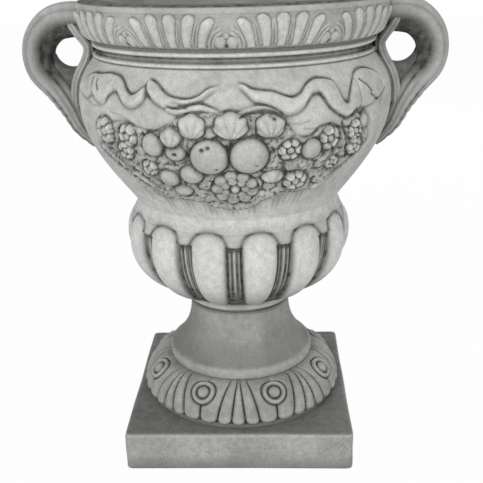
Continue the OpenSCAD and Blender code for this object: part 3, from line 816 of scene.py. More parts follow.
@dataclass
class Cup:
    """Gadrooned cup on its collar bead, with a hem that closes the flutes between the gadroons' heads.

    Each gadroon takes a share of its pitch, which narrows below the head to foot_share at the collar.
    """

    gadroons: int = 14
    share: float = 0.7
    foot_share: float = 0.58
    flute_depth: float = 12.0
    low_end: float = 0.22
    top_share: float = 0.885
    high_end: float = 0.14
    hem_z: float = 258.2
    hem_drop: float = 2.4
    head_z: float = 272.0
    collar_r: float = 57.5
    columns: int = 720

    def build(self, material: Material) -> Object:
        """Builds the cup.

        A gadroon's height is (1 - q^2)^0.45, where q^2.3 = (distance across / share)^2.3 + (distance into
        an end)^2.3. The skin lies back from the crest by the flute's depth times (1 - height), and above
        the hem's edge never by more than the hem's own drop. Three reeds stand in each flute.
        """
        level = np.concatenate(
            [
                np.linspace(BOWL_Z, CUP_Z, 9),
                np.linspace(CUP_Z + 0.5, self.hem_z - 1.5, 60),
                np.linspace(self.hem_z - 1.0, self.hem_z + 1.5, 8),
                np.linspace(self.hem_z + 2.2, SEAM_Z, 50),
            ]
        )
        bead = self.collar_r + beads(level, (BOWL_Z, CUP_Z, 4.5))
        waist = np.where(level > 274.0, belly_r(level), 0.0)
        radii = np.where(level < CUP_Z + 0.2, bead, np.maximum(crest_r(level), waist))
        face = TurnedFace(full_turn(self.columns), radii, level)
        face.out_r, face.out_z = np.ones_like(radii), np.zeros_like(radii)
        z = level[:, None]
        u = (z - CUP_Z) / (WAIST_Z - CUP_Z)
        pitch = 360.0 / self.gadroons
        x = np.abs((face.angles[None, :] % pitch) / pitch * 2.0 - 1.0)
        end = np.maximum(0.0, np.maximum(1.0 - u / self.low_end, 1.0 + (u - self.top_share) / self.high_end))
        share = self.foot_share + (self.share - self.foot_share) * ease(u, 0.0, 0.62)
        q = ((x / share) ** 2.3 + end**2.3) ** (1.0 / 2.3)
        lobe = np.clip(1.0 - q**2, 0.0, 1.0) ** 0.45
        depth = self.flute_depth * np.sin(np.pi * np.clip(u / self.top_share, 0.0, 1.0)) ** 0.6
        in_cup = (z > CUP_Z + 0.2) & (z < self.head_z + 6.0)
        drop = self.hem_drop * fall(z, self.head_z - 2.0, self.head_z + 7.0)
        hem = -drop - 30.0 * fall(z, self.hem_z - 0.6, self.hem_z + 0.6)
        gap = (q > 1.0) * (z < self.hem_z) * in_cup
        reed = np.cos(2.0 * np.pi * (1.0 - x) / (1.0 - share) * 1.5)
        reeds = 1.2 * reed * gap * ease(z, CUP_Z + 18.0, CUP_Z + 48.0)
        edge = bell(q, 1.04, 0.13) * in_cup
        face.relief = np.maximum(-depth * (1.0 - lobe), hem) * in_cup + reeds - edge
        # Antiquing and painted shade in the flutes, deeper low down, and along the gadroons' edges
        face.soil += gap * (0.4 - 0.28 * reed + 0.4 * fall(z, 186.0, 232.0)) + 0.5 * edge
        # Painted shade near the gadroons' edges and over the lower cup
        face.soil += (0.2 * bell(q, 1.0, 0.24) + 0.42 * fall(z, 182.0, 216.0)) * in_cup
        # Painted shade in the crease over the collar bead and under the hem
        face.soil += 0.9 * bell(z, CUP_Z + 1.6, 2.6) + bell(z, self.hem_z - 1.9, 3.2) * (q > 0.97)
        # Painted highlight on the gadroons and near the waist
        face.rubbed_and_highlit += np.where(in_cup, 0.85 * lobe**0.5, 0.0) + 0.6 * ease(z, 270.0, 280.0)
        item = cast("bowl_cup", face, [(96.0, SEAM_Z), (90.0, 230.0), (54.0, 205.0), (50.0, BOWL_Z)])
        return dress(item, material, "bowl_concrete", "bowl")


@dataclass
class BellyHalf:
    """Half of the belly, with its garland of fruit and flowers under a swag of ribbon.

    Places are given by their angle from the half's middle and their height.
    """

    half: Half
    rows: int = 180
    crown_line: tuple = (
        # upper edge of the garland, by angle and height
        (-56, 372), (-52, 386), (-47, 393), (-42, 389), (-37, 391), (-32, 388), (-26, 384), (-21, 389),
        (-15, 399), (-9, 403), (0, 404), (9, 403), (15, 402), (19, 388), (23, 378), (27, 379), (31, 387),
        (37, 386), (43, 390), (49, 393), (53, 384), (56, 370),
    )
    foot_line: tuple = (
        # lower edge, with streaks, antiquing and painted shade below it
        (-56, 362), (-50, 346), (-44, 334), (-38, 324), (-32, 315), (-26, 312), (-19, 313), (-11, 308),
        (-5, 303), (2, 301), (8, 304), (13, 312), (19, 317), (26, 317), (32, 322), (38, 330), (44, 342),
        (50, 354), (56, 366),
    )
    bands: tuple = (
        # ribbons: upper edge and lower edge
        (((-68, 420), (-60, 428), (-54, 429), (-48, 431), (-42, 430)),
         ((-68, 408), (-60, 404), (-55, 409), (-51, 404), (-47, 403), (-44.5, 411), (-42, 416))),
        (((-42.5, 430), (-41, 429), (-38.3, 425), (-36.3, 420), (-34, 416), (-32, 417), (-30, 421),
          (-28, 426)),
         ((-42.5, 415), (-41, 416), (-39.6, 414), (-36.5, 406), (-33.5, 403), (-30.7, 405), (-28, 411))),
        (((-28, 430), (-26.5, 429), (-24, 426), (-21.6, 421), (-19, 417), (-15.5, 415), (-12.2, 415),
          (-9, 418), (-6.5, 423), (-4.5, 425), (-2, 426)),
         ((-28, 418), (-26, 414), (-24, 410), (-21, 406), (-18, 405), (-15.5, 407), (-13, 409),
          (-10, 411), (-7, 416), (-4, 422), (-2, 425))),
        (((-20, 408), (-16, 406), (-12.5, 409), (-9, 411), (-6, 409), (-2.5, 405)),
         ((-20, 403), (-15.5, 401), (-11, 402.5), (-8, 404), (-5, 402.5), (-2.5, 402))),
        (((3, 428), (5.6, 426), (7.6, 423), (11.3, 421), (14.4, 420), (17.5, 416.5), (20.7, 414),
          (23.7, 417), (26, 423), (29, 427), (32, 428)),
         ((3, 426), (5.5, 419), (8, 412), (11, 408), (14, 404), (17.5, 398.5), (21.3, 399), (24, 403),
          (25.8, 409), (28.2, 414), (32, 415))),
        (((2, 403), (5, 406), (9, 409), (12.5, 408), (15.5, 404), (17.5, 400)),
         ((2, 401), (5, 403), (8.5, 405.5), (12, 404.5), (15, 401.5), (17.5, 398))),
        (((30, 427.5), (33.5, 427), (36.7, 424), (38, 415), (39.6, 406), (41.7, 404), (43, 411),
          (45, 419), (47.5, 425)),
         ((30, 415), (31.9, 409), (33.4, 402), (36.4, 395), (40.5, 389.5), (44, 393), (47.5, 397))),
        (((47, 425), (50, 429), (55, 430), (61, 426), (68, 416)),
         ((47, 397), (51, 396), (56, 398), (61, 402), (68, 409))),
    )
    pleats: tuple = (
        # folds of the ribbon and lower edge of the cloth: width, then places from end to end
        (3.0, (-57, 424), (-55.5, 418), (-55.5, 412)), (2.6, (-53.5, 424), (-52.5, 419), (-50.5, 415)),
        (2.2, (-58, 403), (-54, 400), (-50, 401)), (3.0, (-28.2, 423), (-27.2, 418), (-26.2, 414)),
        (3.6, (-17, 411), (-15, 409.5), (-13, 407)),
        (2.8, (28.2, 414), (30.6, 414.5), (32, 409), (33.4, 402)),
        (2.6, (33.4, 402), (36.4, 395), (40.5, 389)), (2.6, (49, 421), (52, 415), (54, 409)),
        (2.4, (53, 407), (56, 402), (59, 400)), (2.6, (41, 389), (44, 393), (45, 397)),
        (2.6, (45, 396), (47.5, 390), (50, 382)), (2.0, (-43, 398), (-38, 396), (-34, 392)),
        (2.0, (-30, 388), (-26, 385.5), (-22, 386)), (2.2, (19, 391), (23, 390), (26, 392)),
        (2.0, (24, 385), (28, 384), (31, 387)), (2.4, (62, 414), (63, 404), (61, 394)),
    )
    stems: tuple = (
        # width, height of the carving, then places from end to end
        (5.0, 4.2, (-54, 359), (-47, 345), (-40, 332), (-33, 318)),
        (5.0, 4.6, (-50, 363), (-44, 352), (-38, 341), (-32, 330), (-27, 322)),
        (4.0, 4.0, (-42, 357), (-36, 349), (-31, 339), (-28, 333)),
        (5.0, 4.2, (54, 362), (48, 347), (41, 335), (34, 322)), (4.5, 4.4, (49, 362), (44, 351), (38, 341)),
        (4.0, 4.2, (38, 361), (35, 353), (33, 343)),
    )
    leaves: tuple = (
        # angle, height, length, width, direction of the tip, height of the carving
        (-16, 378, 16, 9, 80, 4.4), (-13, 392, 16, 9, 110, 4.0), (-40, 352, 24, 9, -52, 4.4),
        (-31, 341, 22, 9, -46, 4.6), (-24, 320, 22, 9, -24, 4.4), (-12, 318, 20, 9, 205, 4.4),
        (-9, 336, 16, 9, 160, 4.4), (-28, 330, 18, 9, -40, 4.8), (14, 352, 20, 12, 4, 4.8),
        (33, 353, 22, 11, 40, 4.8), (37, 333, 22, 11, 58, 4.6), (43, 345, 24, 10, 60, 4.6),
        (50, 360, 26, 9, 66, 4.4), (8, 346, 14, 9, 30, 4.4), (14, 320, 20, 9, -18, 4.4),
        (17, 384, 16, 8, 40, 3.8), (26, 352, 18, 10, 60, 4.6), (40, 372, 20, 9, 80, 4.6),
        (20, 352, 14, 8, 100, 4.4), (-42, 368, 16, 8, 70, 4.2), (-22, 350, 14, 8, 20, 4.2),
    )
    flowers: tuple = (
        # angle, height, radius, petals, height of the carving, turn
        (-46, 379, 14.0, 6, 6.4, 20), (-35, 378, 12.0, 5, 6.0, 50), (-37.5, 363, 10.5, 5, 5.8, 10),
        (-29, 348, 9.5, 4, 5.4, 30), (19.8, 367, 11.5, 6, 6.0, 0), (33.8, 374, 12.0, 5, 6.4, 35),
        (44.8, 377, 10.5, 4, 6.2, 10), (46.3, 361, 10.5, 5, 6.0, 40), (24, 334, 13.0, 6, 6.2, 15),
        (37, 349, 8.5, 4, 5.2, 0),
    )
    fruits: tuple = (
        # angle, height, half width, half height, height of the carving
        (-25.2, 372, 11.5, 11.5, 8.2), (-17.5, 366, 10.5, 8.5, 6.2), (-22.1, 339.5, 10.5, 10.5, 8.0),
        (-13.3, 345, 11.5, 11.0, 8.5), (-18.4, 326, 10.0, 7.5, 6.4), (27.2, 366, 10.5, 10.5, 8.2),
        (8.8, 335, 7.5, 7.0, 6.4), (48.6, 384, 6.0, 7.5, 5.4), (-6.3, 363, 18.0, 18.0, 12.0),
        (6.4, 364, 18.0, 18.0, 12.5),
    )
    shells: tuple = (
        # angle, height, half width, half height, ribs
        (0.8, 391.5, 16.5, 13.0, 7.0), (-11.3, 391.0, 13.5, 12.0, 6.0), (13.0, 391.0, 14.5, 12.0, 6.0),
        (-18.5, 380.0, 11.0, 10.0, 5.0), (14.7, 342.0, 11.0, 9.0, 4.0),
    )
    pits: tuple = (
        # angle, height, depth
        (-8.2, 372.5, 3.0), (-6.3, 374.5, 2.6), (-17.5, 366.0, 3.0), (-4.0, 355.0, 1.4), (8.5, 359.0, 1.2),
        (14.0, 397.0, 3.0), (12.9, 399.5, 2.4),
    )
    creases: tuple = (
        # deep lines that part the garland's groups, from end to end
        ((3.7, 399.0), (7.3, 403.0), (10.8, 403.5), (14.9, 400.5), (17.5, 396.0)),
        ((27.5, 380.0), (30.0, 386.0), (34.5, 387.0), (38.0, 382.0)),
        ((38.7, 387.0), (40.0, 375.0), (42.0, 363.0), (43.3, 352.0)),
        ((24.0, 318.5), (28.0, 319.0), (31.4, 323.0), (31.8, 334.0)),
    )

    def swag(self, face: TurnedFace) -> None:
        """Lays the ribbons: flat bands, each with a dark cut along its upper edge, and the pleats in them.

        Args:
            face: face that is raised.
        """
        angle, z = face.angles - face.middle, face.heights[:, None]
        for upper, lower in self.bands:
            first, last = upper[0][0], upper[-1][0]
            top, foot = bend(angle, upper), bend(angle, lower)
            ends = ease(angle, first - 0.3, first + 0.8) * fall(angle, last - 0.8, last + 0.3)
            below, above = top - z, z - foot
            share = np.clip(above / (top - foot + 0.1), 0.0, 1.0)
            band = (1.9 + 1.7 * np.sin(np.pi * share**0.8)) * ends
            face.raise_to(band * ease(below, -0.4, 2.0) * ease(above, -1.0, 5.0))
            cut = bell(below, -0.6, 1.5) * ends
            face.relief -= 0.9 * cut
            # Antiquing and painted shade in the cut and along the lower edge
            face.soil += 0.3 * cut + 0.12 * bell(above, -1.4, 2.2) * ends
        for width, *places in self.pleats:
            near = face.along(places, width)
            face.relief -= 1.7 * near
            # Antiquing and painted shade in the folds
            face.soil += 0.4 * near

    def garland(self, face: TurnedFace) -> None:
        """Fills the garland: a bed of small leaves, long stems, then leaves, flowers and fruits over them.

        Args:
            face: face that is raised.
        """
        angle, z = face.angles - face.middle, face.heights[:, None]
        crown, foot = bend(angle, self.crown_line), bend(angle, self.foot_line)
        bed = ease(z - foot, -1.0, 3.5) * ease(crown - z, -1.0, 3.5) * fall(np.abs(angle), 52.0, 55.0)
        x, y = face.spot(0.0, BELLY_Z)
        crowd = 0.75 * foliage(x, y, 10.0) + 0.25 * foliage(x + 3.0, y + 1.0, 5.0)
        rough = foliage(x + 2.0 * np.sin(y / 3.7), y + 2.0 * np.sin(x / 4.3), 5.0)
        face.raise_to(bed * (0.5 + 2.6 * crowd))
        # Antiquing and painted shade between the buds of the bed
        face.soil += bed * (0.12 + 0.3 * (1.0 - crowd) ** 2)
        # Less painted highlight over the garland's bed
        face.rubbed_and_highlit -= 0.3 * bed
        for width, proud, *places in self.stems:
            # Painted shade in a ring beside each stem
            face.soil += 0.45 * (face.along(places, width + 5.0) - face.along(places, width))
            face.raise_to(proud * face.along(places, width) ** 0.5)
        for place in self.leaves:
            face.raise_to(leaf(*face.spot(*place[:2]), *place[2:]))
        for place in self.flowers:
            x, y = face.spot(*place[:2])
            self.clear(face, np.hypot(x, y), place[2])
            face.raise_to(blossom(x, y, *place[2:]))
        face.relief += bed * (rough - 0.6)
        # More antiquing and painted shade in the rough bed's hollows
        face.soil += 0.22 * bed * (1.0 - rough) ** 2
        for angle, height, wide, tall, proud in self.fruits:
            x, y = face.spot(angle, height)
            distance = np.hypot(x * tall / wide, y)
            self.clear(face, distance, tall)
            face.raise_to(dome(distance, tall, proud))
            shade = ease(distance, 0.55 * tall, tall) * fall(y, -0.9 * tall, 0.9 * tall)
            # Painted shade on each fruit's lower flanks
            face.soil += (0.12 + 0.3 * shade) * (distance < tall)
        self.centre(face)

    def clear(self, face: TurnedFace, distance: Grid, r: float) -> None:
        """Sinks the leaves round a fruit or flower of radius r, and darkens the ring left round it: antiquing
        and painted shade.
        """
        sunk = fall(distance, r + 0.4, r + 1.6)
        face.relief = np.minimum(face.relief, 0.6 + 12.0 * (1.0 - sunk))
        face.rubbed_and_highlit *= 1.0 - 0.5 * sunk
        face.soil *= 1.0 - 0.8 * sunk
        face.soil += 0.3 * bell(distance, r + 0.6, 2.4)

    def centre(self, face: TurnedFace) -> None:
        """Carves the shells over the two large fruits, the pits and creases, and the daisy below them.

        The daisy is an outer ring of nine petals and an inner one of seven round a dished eye.

        Args:
            face: face that is raised.
        """
        for angle, height, wide, tall, ribs in self.shells:
            x, y = face.spot(angle, height)
            x = x * tall / wide
            fan = np.arctan2(x, y + tall)
            distance = np.hypot(x, y) / (0.96 + 0.04 * np.cos(2.0 * ribs * fan))
            self.clear(face, distance, tall)
            face.raise_to(dome(distance, tall, 7.0) * (0.8 + 0.2 * np.abs(np.cos(ribs * fan)) ** 0.7))
        for angle, height, deep in self.pits:
            x, y = face.spot(angle, height)
            pit = deep * np.exp(-(x * x / 5.0 + y * y / 2.6))
            face.relief -= pit
            # Antiquing and painted shade in the pits
            face.soil += 0.2 * pit
        for places in self.creases:
            near = face.along(places, 2.4)
            face.relief -= 2.2 * near
            # Antiquing and painted shade in the creases
            face.soil += 0.6 * near
        x, y = face.spot(1.6, 330.0)
        distance, around = np.hypot(x, y), np.arctan2(y, x)
        face.relief = np.where(distance < 23.0, np.minimum(face.relief, 1.4), face.relief)
        for r, at, petals, shift in ((6.6, 16.0, 9, 0.4), (5.0, 9.6, 7, 0.0)):
            spread = np.round((around - shift) * petals / (2 * np.pi)) * 2 * np.pi / petals + shift
            off = np.hypot(x - at * np.cos(spread), y - at * np.sin(spread))
            face.raise_to(dome(off, r, 6.6 - 0.05 * at) - 1.2 * np.exp(-(off**2) / 2.2))
        face.raise_to(dome(distance, 4.6, 7.6) - 1.6 * bell(distance, 0.0, 1.4))
        # Antiquing and painted shade round the daisy's eye
        face.soil += 0.3 * bell(distance, 5.6, 1.2)

    def build(self, material: Material) -> Object:
        """Builds the half: plain profile, then ribbons, garland and the brushed streaks below.

        The columns stand close over the carving and spread towards the handles, where both halves meet.
        """
        heights = np.linspace(SEAM_Z, SHOULDER_Z, self.rows)
        aside = 90.0 - 20.0 * np.linspace(1.0, 0.0, 17)[1:] ** 2
        turn = np.concatenate([-aside[::-1], np.linspace(-70.0, 70.0, 505), aside])
        face = TurnedFace(turn + self.half.value, belly_r(heights), heights, False, self.half.value)
        face.hold, face.softness = 0.64, 1.5
        self.swag(face)
        self.garland(face)
        z, foot = heights[:, None], bend(turn, self.foot_line)
        below = ease(foot - z, -4.0, 1.0) * ease(z - foot, -24.0, -4.0) * fall(np.abs(turn), 44.0, 52.0)
        below *= ease(z, SEAM_Z + 1.0, SEAM_Z + 9.0)
        a = np.radians(face.angles)
        streak = np.cos(a * 90.0) * np.cos(a * 53.0)
        face.relief += 0.8 * streak * below
        # Darker streaks under the garland: antiquing and painted shade
        face.soil += below * (0.16 + 0.42 * streak)
        # Painted highlight over the belly, strongest low down by the waist
        face.rubbed_and_highlit += 0.45 * fall(z, 296.0, 318.0) + 0.15
        lining = [(136.0, SHOULDER_Z), (140.0, 400.0), (120.0, 345.0), (100.0, SEAM_Z)]
        item = cast(f"bowl_belly_{self.half.name.lower()}", face, lining)
        return dress(item, material, "bowl_concrete", "bowl")


@dataclass
class Mouldings:
    """Lip, thin bead and top bead between shoulder and rim."""

    groove_r: float = 143.5
    inner_r: float = 128.0
    columns: int = 360

    def build(self, material: Material) -> Object:
        """Builds the ring of beads on a straight wall, with painted shade between them and a painted shadow
        beside the handles.
        """
        heights = np.linspace(SHOULDER_Z - 0.6, BOWL_TOP_Z, 80)
        face = TurnedFace(full_turn(self.columns), np.full_like(heights, self.groove_r), heights)
        z = heights[:, None]
        rounds = beads(z, (438.5, 442.6, 4.0), (444.6, 446.4, 1.0), (448.2, 453.0, 4.3))
        face.relief += rounds
        face.hold = 0.2
        # Antiquing and painted shade between the beads
        face.soil += 0.16 * fall(rounds, 0.4, 2.2) + 0.48 * ease(z, 442.0, 443.4) * fall(z, 447.6, 449.0)
        # Painted shadow where the beads meet the handles' straps
        corner = ease(z, 441.5, 444.0) * fall(z, 448.0, 450.5)
        face.soil += 1.2 * fall(face.from_axis(), 20.0, 36.0) * corner
        lining = [(self.inner_r, BOWL_TOP_Z), (self.inner_r, heights[0])]
        return dress(cast("bowl_mouldings", face, lining), material, "bowl_concrete", "bowl")


@dataclass
class Hollow:
    """Planting hollow: a plain lining from the top of the bowl to the floor round the drain."""

    neck_r: float = 124.0
    wall: float = 24.0
    well_r: float = 86.0
    corner_r: float = 22.0
    columns: int = 256

    def build(self, material: Material) -> Object:
        """Builds the lining: the belly's own curve less its wall, the well, a round corner and the floor."""
        z = np.linspace(BELLY_Z, WAIST_Z, 40)
        neck = np.stack([np.minimum(self.neck_r, belly_r(z) - self.wall), z], axis=1)
        turn = np.radians(np.linspace(90.0, 0.0, 10))
        across, up = self.corner_r * np.sin(turn), self.corner_r * (1.0 - np.cos(turn))
        corner = np.stack([self.well_r - self.corner_r + across, FLOOR_Z + up], axis=1)
        knots = np.vstack(
            [[[self.neck_r, BOWL_TOP_Z]], neck, [[self.well_r, 273.0]], corner, [[BORE_R, FLOOR_Z]]]
        )
        places = np.vstack([np.linspace(p, q, 4)[:-1] for p, q in zip(knots[:-1], knots[1:])] + [knots[-1:]])
        back = [(BORE_R, FLOOR_Z - 8.0), (64.0, FLOOR_Z - 8.0), (94.0, 225.0), (94.0, 280.0), (129.5, 360.0)]
        angles = full_turn(self.columns)
        skin, lining = outline(angles, places), outline(angles, back + [(129.5, BOWL_TOP_Z)])
        # Painted shade inside the hollow, darker towards its floor
        depth = np.interp(places[:, 1:], [FLOOR_Z, 300.0, BOWL_TOP_Z], [0.55, 0.3, 0.12])
        item = solid("bowl_hollow", skin, lining, True, {"wash_and_shade": depth, "crest": 0.0 * depth})
        return dress(item, material, "bowl_concrete", "bowl")


@dataclass
class Rim:
    """Rim course: a frieze of upright leaves that fan out from ten small palmettes, under a plain band."""

    groups: int = 10
    carved_r: float = 160.0
    carved_z: float = 458.0
    columns: int = 1200
    rows: int = 50
    tongues: tuple = (
        # foot and head by distance from the palmette, head's height, half width at foot and head
        (22.5, 13.5, 25.5, 3.6, 6.4), (36.5, 31.5, 28.5, 3.4, 6.6), (50.3, 50.3, 29.0, 3.6, 6.8),
    )

    def frieze(self, face: TurnedFace) -> None:
        """Carves one group in every pitch: tongues with slivers between them, and a palmette of arcs.

        The palmette has two arcs round a pair of buds, a smaller bud over them and a dark eye below. The
        carving stops behind the handles.

        Args:
            face: face that is raised.
        """
        pitch = 360.0 / self.groups
        turn = (face.angles + pitch / 2.0) % pitch - pitch / 2.0
        x, y = np.radians(turn)[None, :] * self.carved_r, face.heights[:, None] - self.carved_z
        side = np.abs(x)
        shown = ease(face.from_axis(), 11.0, 13.0)
        for foot, head, tall, narrow, broad in self.tongues:
            t = np.clip(y / tall, 0.0, 1.0)
            half = (narrow + (broad - narrow) * t) * dome(np.clip(y - tall + 6.0, 0.0, None), 6.0, 1.0) + 1e-3
            gap = np.abs(side - foot - (head - foot) * t**1.4) / half
            tongue = np.clip(1.0 - gap**2, 0.0, 1.0) ** 0.5 * ease(y, -1.5, 1.0)
            face.raise_to((2.9 * tongue - 0.5 * bell(gap * half, 0.0, 0.8) * (tongue > 0.2)) * shown)
            # Painted highlight on the tongues
            face.rubbed_and_highlit += 0.3 * tongue * shown
            sliver = bell((gap - 1.28) * half, 0.0, 0.8) * ease(y, 1.0, 4.0) * fall(y, tall - 8.0, tall - 3.0)
            face.raise_to(1.3 * sliver * shown)
        distance = np.hypot(x, y - 1.5)
        arcs = bell(distance, 12.2, 1.2) + 0.8 * bell(distance, 15.8, 1.1)
        face.raise_to(2.2 * arcs * ease(y, -1.5, 0.5) * ease(side, 2.0, 6.0) * shown)
        face.raise_to(dome(np.hypot(side - 5.6, y - 4.4), 5.6, 2.8) * shown)
        face.raise_to(dome(np.hypot(x, y - 10.5), 2.6, 1.6) * shown)
        eye = np.exp(-(distance**2) / 2.6) * shown
        face.relief -= 1.6 * eye
        # Antiquing and painted shade in the palmette's eye
        face.soil += 0.9 * eye

    def build(self, material: Material) -> Object:
        """Builds the rim: carved face, plain band and eased edge, with the mouth as its lining."""
        heights = np.concatenate([np.linspace(RIM_Z, 487.0, self.rows), np.linspace(487.8, TOP_Z - 1.0, 8)])
        face = TurnedFace(full_turn(self.columns), rim_r(heights), heights)
        face.out_r, face.out_z = np.ones_like(face.radii), np.zeros_like(face.radii)
        face.hold = 0.42
        self.frieze(face)
        z = heights[:, None]
        face.relief += 1.2 * ease(z, 486.2, 488.2) - 1.4 * ease(z, TOP_Z - 3.5, TOP_Z - 1.0)
        # Painted shade under the rim's foot and below the band's step
        face.soil += 0.15 * fall(z, RIM_Z, RIM_Z + 2.5) + 0.17 * ease(z, 480.0, 487.0)
        # Painted shade along the top edge
        face.soil += 0.7 * ease(z, TOP_Z - 2.6, TOP_Z - 1.0)
        # Antiquing and painted shade on the ground between the tongues
        face.soil += 0.16 * fall(face.relief, 0.0, 1.0) * fall(z, 484.0, 486.0)
        crown = [(156.0, TOP_Z), (150.0, TOP_Z), (142.0, TOP_Z), (135.5, TOP_Z), (134.0, TOP_Z - 0.6)]
        mouth = [(131.2, TOP_Z - 3.2), (130.0, 488.0), (128.0, 476.0), (126.0, 466.0), (124.2, RIM_Z)]
        # Painted shade over the rim's top and down the mouth, one value for each lining row
        depths = [1.0, 1.0, 1.0, 0.95, 0.85, 0.6, 0.5, 0.5, 0.55, 0.7, 0.8]
        lining = crown + mouth + [(136.0, RIM_Z)]
        smooth = np.ones(len(heights) + len(lining), bool)
        smooth[[len(heights) - 1, -2, -1]] = False
        item = cast("rim_frieze", face, lining, depths, smooth)
        return dress(item, material, "rim_concrete", "rim")


@dataclass
class Handle:
    """Loop handle: a broad reeded limb from the rim round to a leaf on the belly, a strap and a web.

    The strap hugs shoulder, mouldings and rim, and the web fills the wedge under the opening.
    """

    side: Side
    loop_x: float = 172.0
    loop_z: float = 440.0
    loop_r: float = 38.0
    half_t: float = 14.5
    half_w: float = 21.5
    opening_r: float = 18.5
    leaf_drop: float = 54.0
    web_t: float = 22.0
    strap_r: float = 147.5
    strap_t: float = 9.8
    strap_w: float = 39.0
    steps: int = 240
    around: int = 120

    def line(self) -> Grid:
        """Middle of the limb as (out, up, half thickness, half width), from the rim to the leaf's tip."""
        x, z, r, t, w = self.loop_x, self.loop_z, self.loop_r, self.half_t, self.half_w
        loop = ((-0.66, 0.86, 0.95), (-0.12, 0.95, 1.07), (0.46, 0.84, 1.07), (0.86, 0.47, 1.02),
                (1.01, 0.0, 0.97), (0.9, -0.5, 1.0), (0.5, -0.97, 1.03))
        knots = [(x + a * r, z + b * r, c * t, w) for a, b, c in loop]
        leaf_end = ((0.19, 0.86, 0.87, 1.05), (0.6, 0.56, 0.66, 0.91), (1.0, 0.14, 0.35, 0.42))
        for down, out, thick, wide in leaf_end:
            level = BELLY_Z - down * self.leaf_drop
            knots.append((float(belly_r(np.array(level))) + out * t, level, thick * t, wide * w))
        return spline(np.array(knots), self.steps)

    def placed(self, out: Grid, y: Grid, up: Grid) -> Grid:
        """Points on the handle's own side, from distance to the axis, distance to its plane, and height."""
        return np.stack([self.side.value * out, y, up], axis=-1)

    def sweep(
        self, name: str, line: Grid, reeds: int, reed_depth: float, power: float, bevel_and_shade: float
    ) -> Object:
        """Carries a rounded section along a line in the plane of the handle.

        The section is a superellipse, |cos|^(2/power) by |sin|^(2/power), lowered by reeds that run along it:
        depth * (1 - |cos(reeds * angle / 2)|^0.7). Round the opening it is drawn out into a bevel, and on the
        belly its outer face carries a leaf's midrib and slanting veins. Each end has a flat cap.

        Args:
            name: name of the object.
            line: (steps, 4) values: out, up, half thickness, half width.
            reeds: number of reeds round the section.
            reed_depth: depth of the furrows between them.
            power: how square the section is; 2 is an ellipse.
            bevel_and_shade: 1 for bevel, leaf and painted shade on the side of the opening, 0 for none of
                them.

        Returns:
            The new object.
        """
        (out, up, thick, wide), ahead = line.T, np.gradient(line[:, :2], axis=0)
        ahead_out, ahead_up = (ahead / np.linalg.norm(ahead, axis=1)[:, None]).T
        f = np.linspace(0.0, 2.0 * np.pi, self.around, endpoint=False)[:, None]
        furrow = 1.0 - np.abs(np.cos(reeds * f / 2.0)) ** 0.7
        across = np.sign(np.cos(f)) * np.abs(np.cos(f)) ** (2.0 / power)
        along_y = np.sign(np.sin(f)) * np.abs(np.sin(f)) ** (2.0 / power)
        bevel = bevel_and_shade * ease(across, 0.0, 1.0) * ease(up, 404.0, 420.0)
        low = bevel_and_shade * fall(up, 398.0, 412.0)
        slant = 0.5 + 0.5 * np.cos(2.0 * np.pi * (up - 9.0 * np.abs(along_y)) / 9.0)
        veins = low * fall(across, -0.6, -0.1) * np.maximum(bell(along_y, 0.0, 0.1), 0.7 * slant**2)
        thick = (thick - reed_depth * furrow - 1.2 * veins) * (1.0 + 0.36 * bevel) * across
        wide = (wide - reed_depth * furrow) * (1.0 - 0.3 * bevel)
        # Painted shade round the opening
        inner = ease(across, -0.3, 0.75) * ease(up, 396.0, 414.0)
        line_marks = sum(bell(across, at, 0.1) for at in (-0.5, 0.05, 0.5))
        # Antiquing in the furrows, leaf lines and veins, with the painted shade round the opening
        held = 0.3 * furrow**2 + (0.16 + 0.85 * inner) * bevel_and_shade + 0.45 * low * line_marks + 0.4 * veins
        # Painted highlight on the reeds, none by the opening
        crest = np.clip(1.0 - furrow * 1.6, 0.0, 1.0) * 0.5 * (1.0 - inner)
        rows = self.placed(out + thick * ahead_up, wide * along_y, up - thick * ahead_out)
        marks = {"wash_and_shade": np.clip(held, 0.0, 1.0), "crest": crest}
        return solid(name, rows, rows[:0], False, marks, 0.0, np.ones(self.around, bool))

    def web(self, name: str) -> Object:
        """Web that fills the wedge between strap and lower limb, up to the round foot of the opening."""
        turn = np.radians(np.linspace(222.0, 345.0, 40))
        arc_out = self.loop_x + 2.0 + self.opening_r * np.cos(turn)
        arc_up = self.loop_z + 2.0 + self.opening_r * np.sin(turn)
        foot_out = np.interp(turn, turn[[0, -1]], [self.loop_x - 16.0, self.loop_x + 12.0])
        foot_up = 396.0 - 8.0 * np.sin(np.linspace(0.0, np.pi, len(turn)))
        depth = np.linspace(0.0, 1.0, 14)[:, None]
        out, up = (a + (b - a) * depth for a, b in ((arc_out, foot_out), (arc_up, foot_up)))
        half = self.web_t / 2.0 * np.minimum(1.0, 0.72 + 1.68 * depth) + 0.0 * out
        rows = np.concatenate([self.placed(out, -half, up), self.placed(out, half, up)[::-1]])
        # Painted shade all over the web, in the wedge under the opening
        return solid(name, rows, rows[:0], False, {"wash_and_shade": 0.8, "crest": 0.0})

    def strap(self, name: str) -> Object:
        """Strap on the smoothed outline of belly, mouldings and rim, leaning out towards its upper end."""
        z = np.linspace(384.0, 478.0, 48)
        upper = np.where(z < RIM_Z, self.strap_r, rim_r(z))
        wall = np.where(z < SHOULDER_Z, np.maximum(belly_r(z), self.strap_r), upper)
        wall = np.convolve(np.pad(wall, 5, mode="edge"), np.full(11, 1 / 11), mode="valid")
        out = wall + self.strap_t / 2.0 + 0.3 + 5.0 * ease(z, 443.0, 464.0)
        half_t, half_w = np.full((2, len(z)), [[self.strap_t / 2.0], [self.strap_w / 2.0]])
        line = np.stack([out, z, half_t, half_w], axis=1)
        return self.sweep(name, line, reeds=14, reed_depth=0.8, power=4.0, bevel_and_shade=0.0)

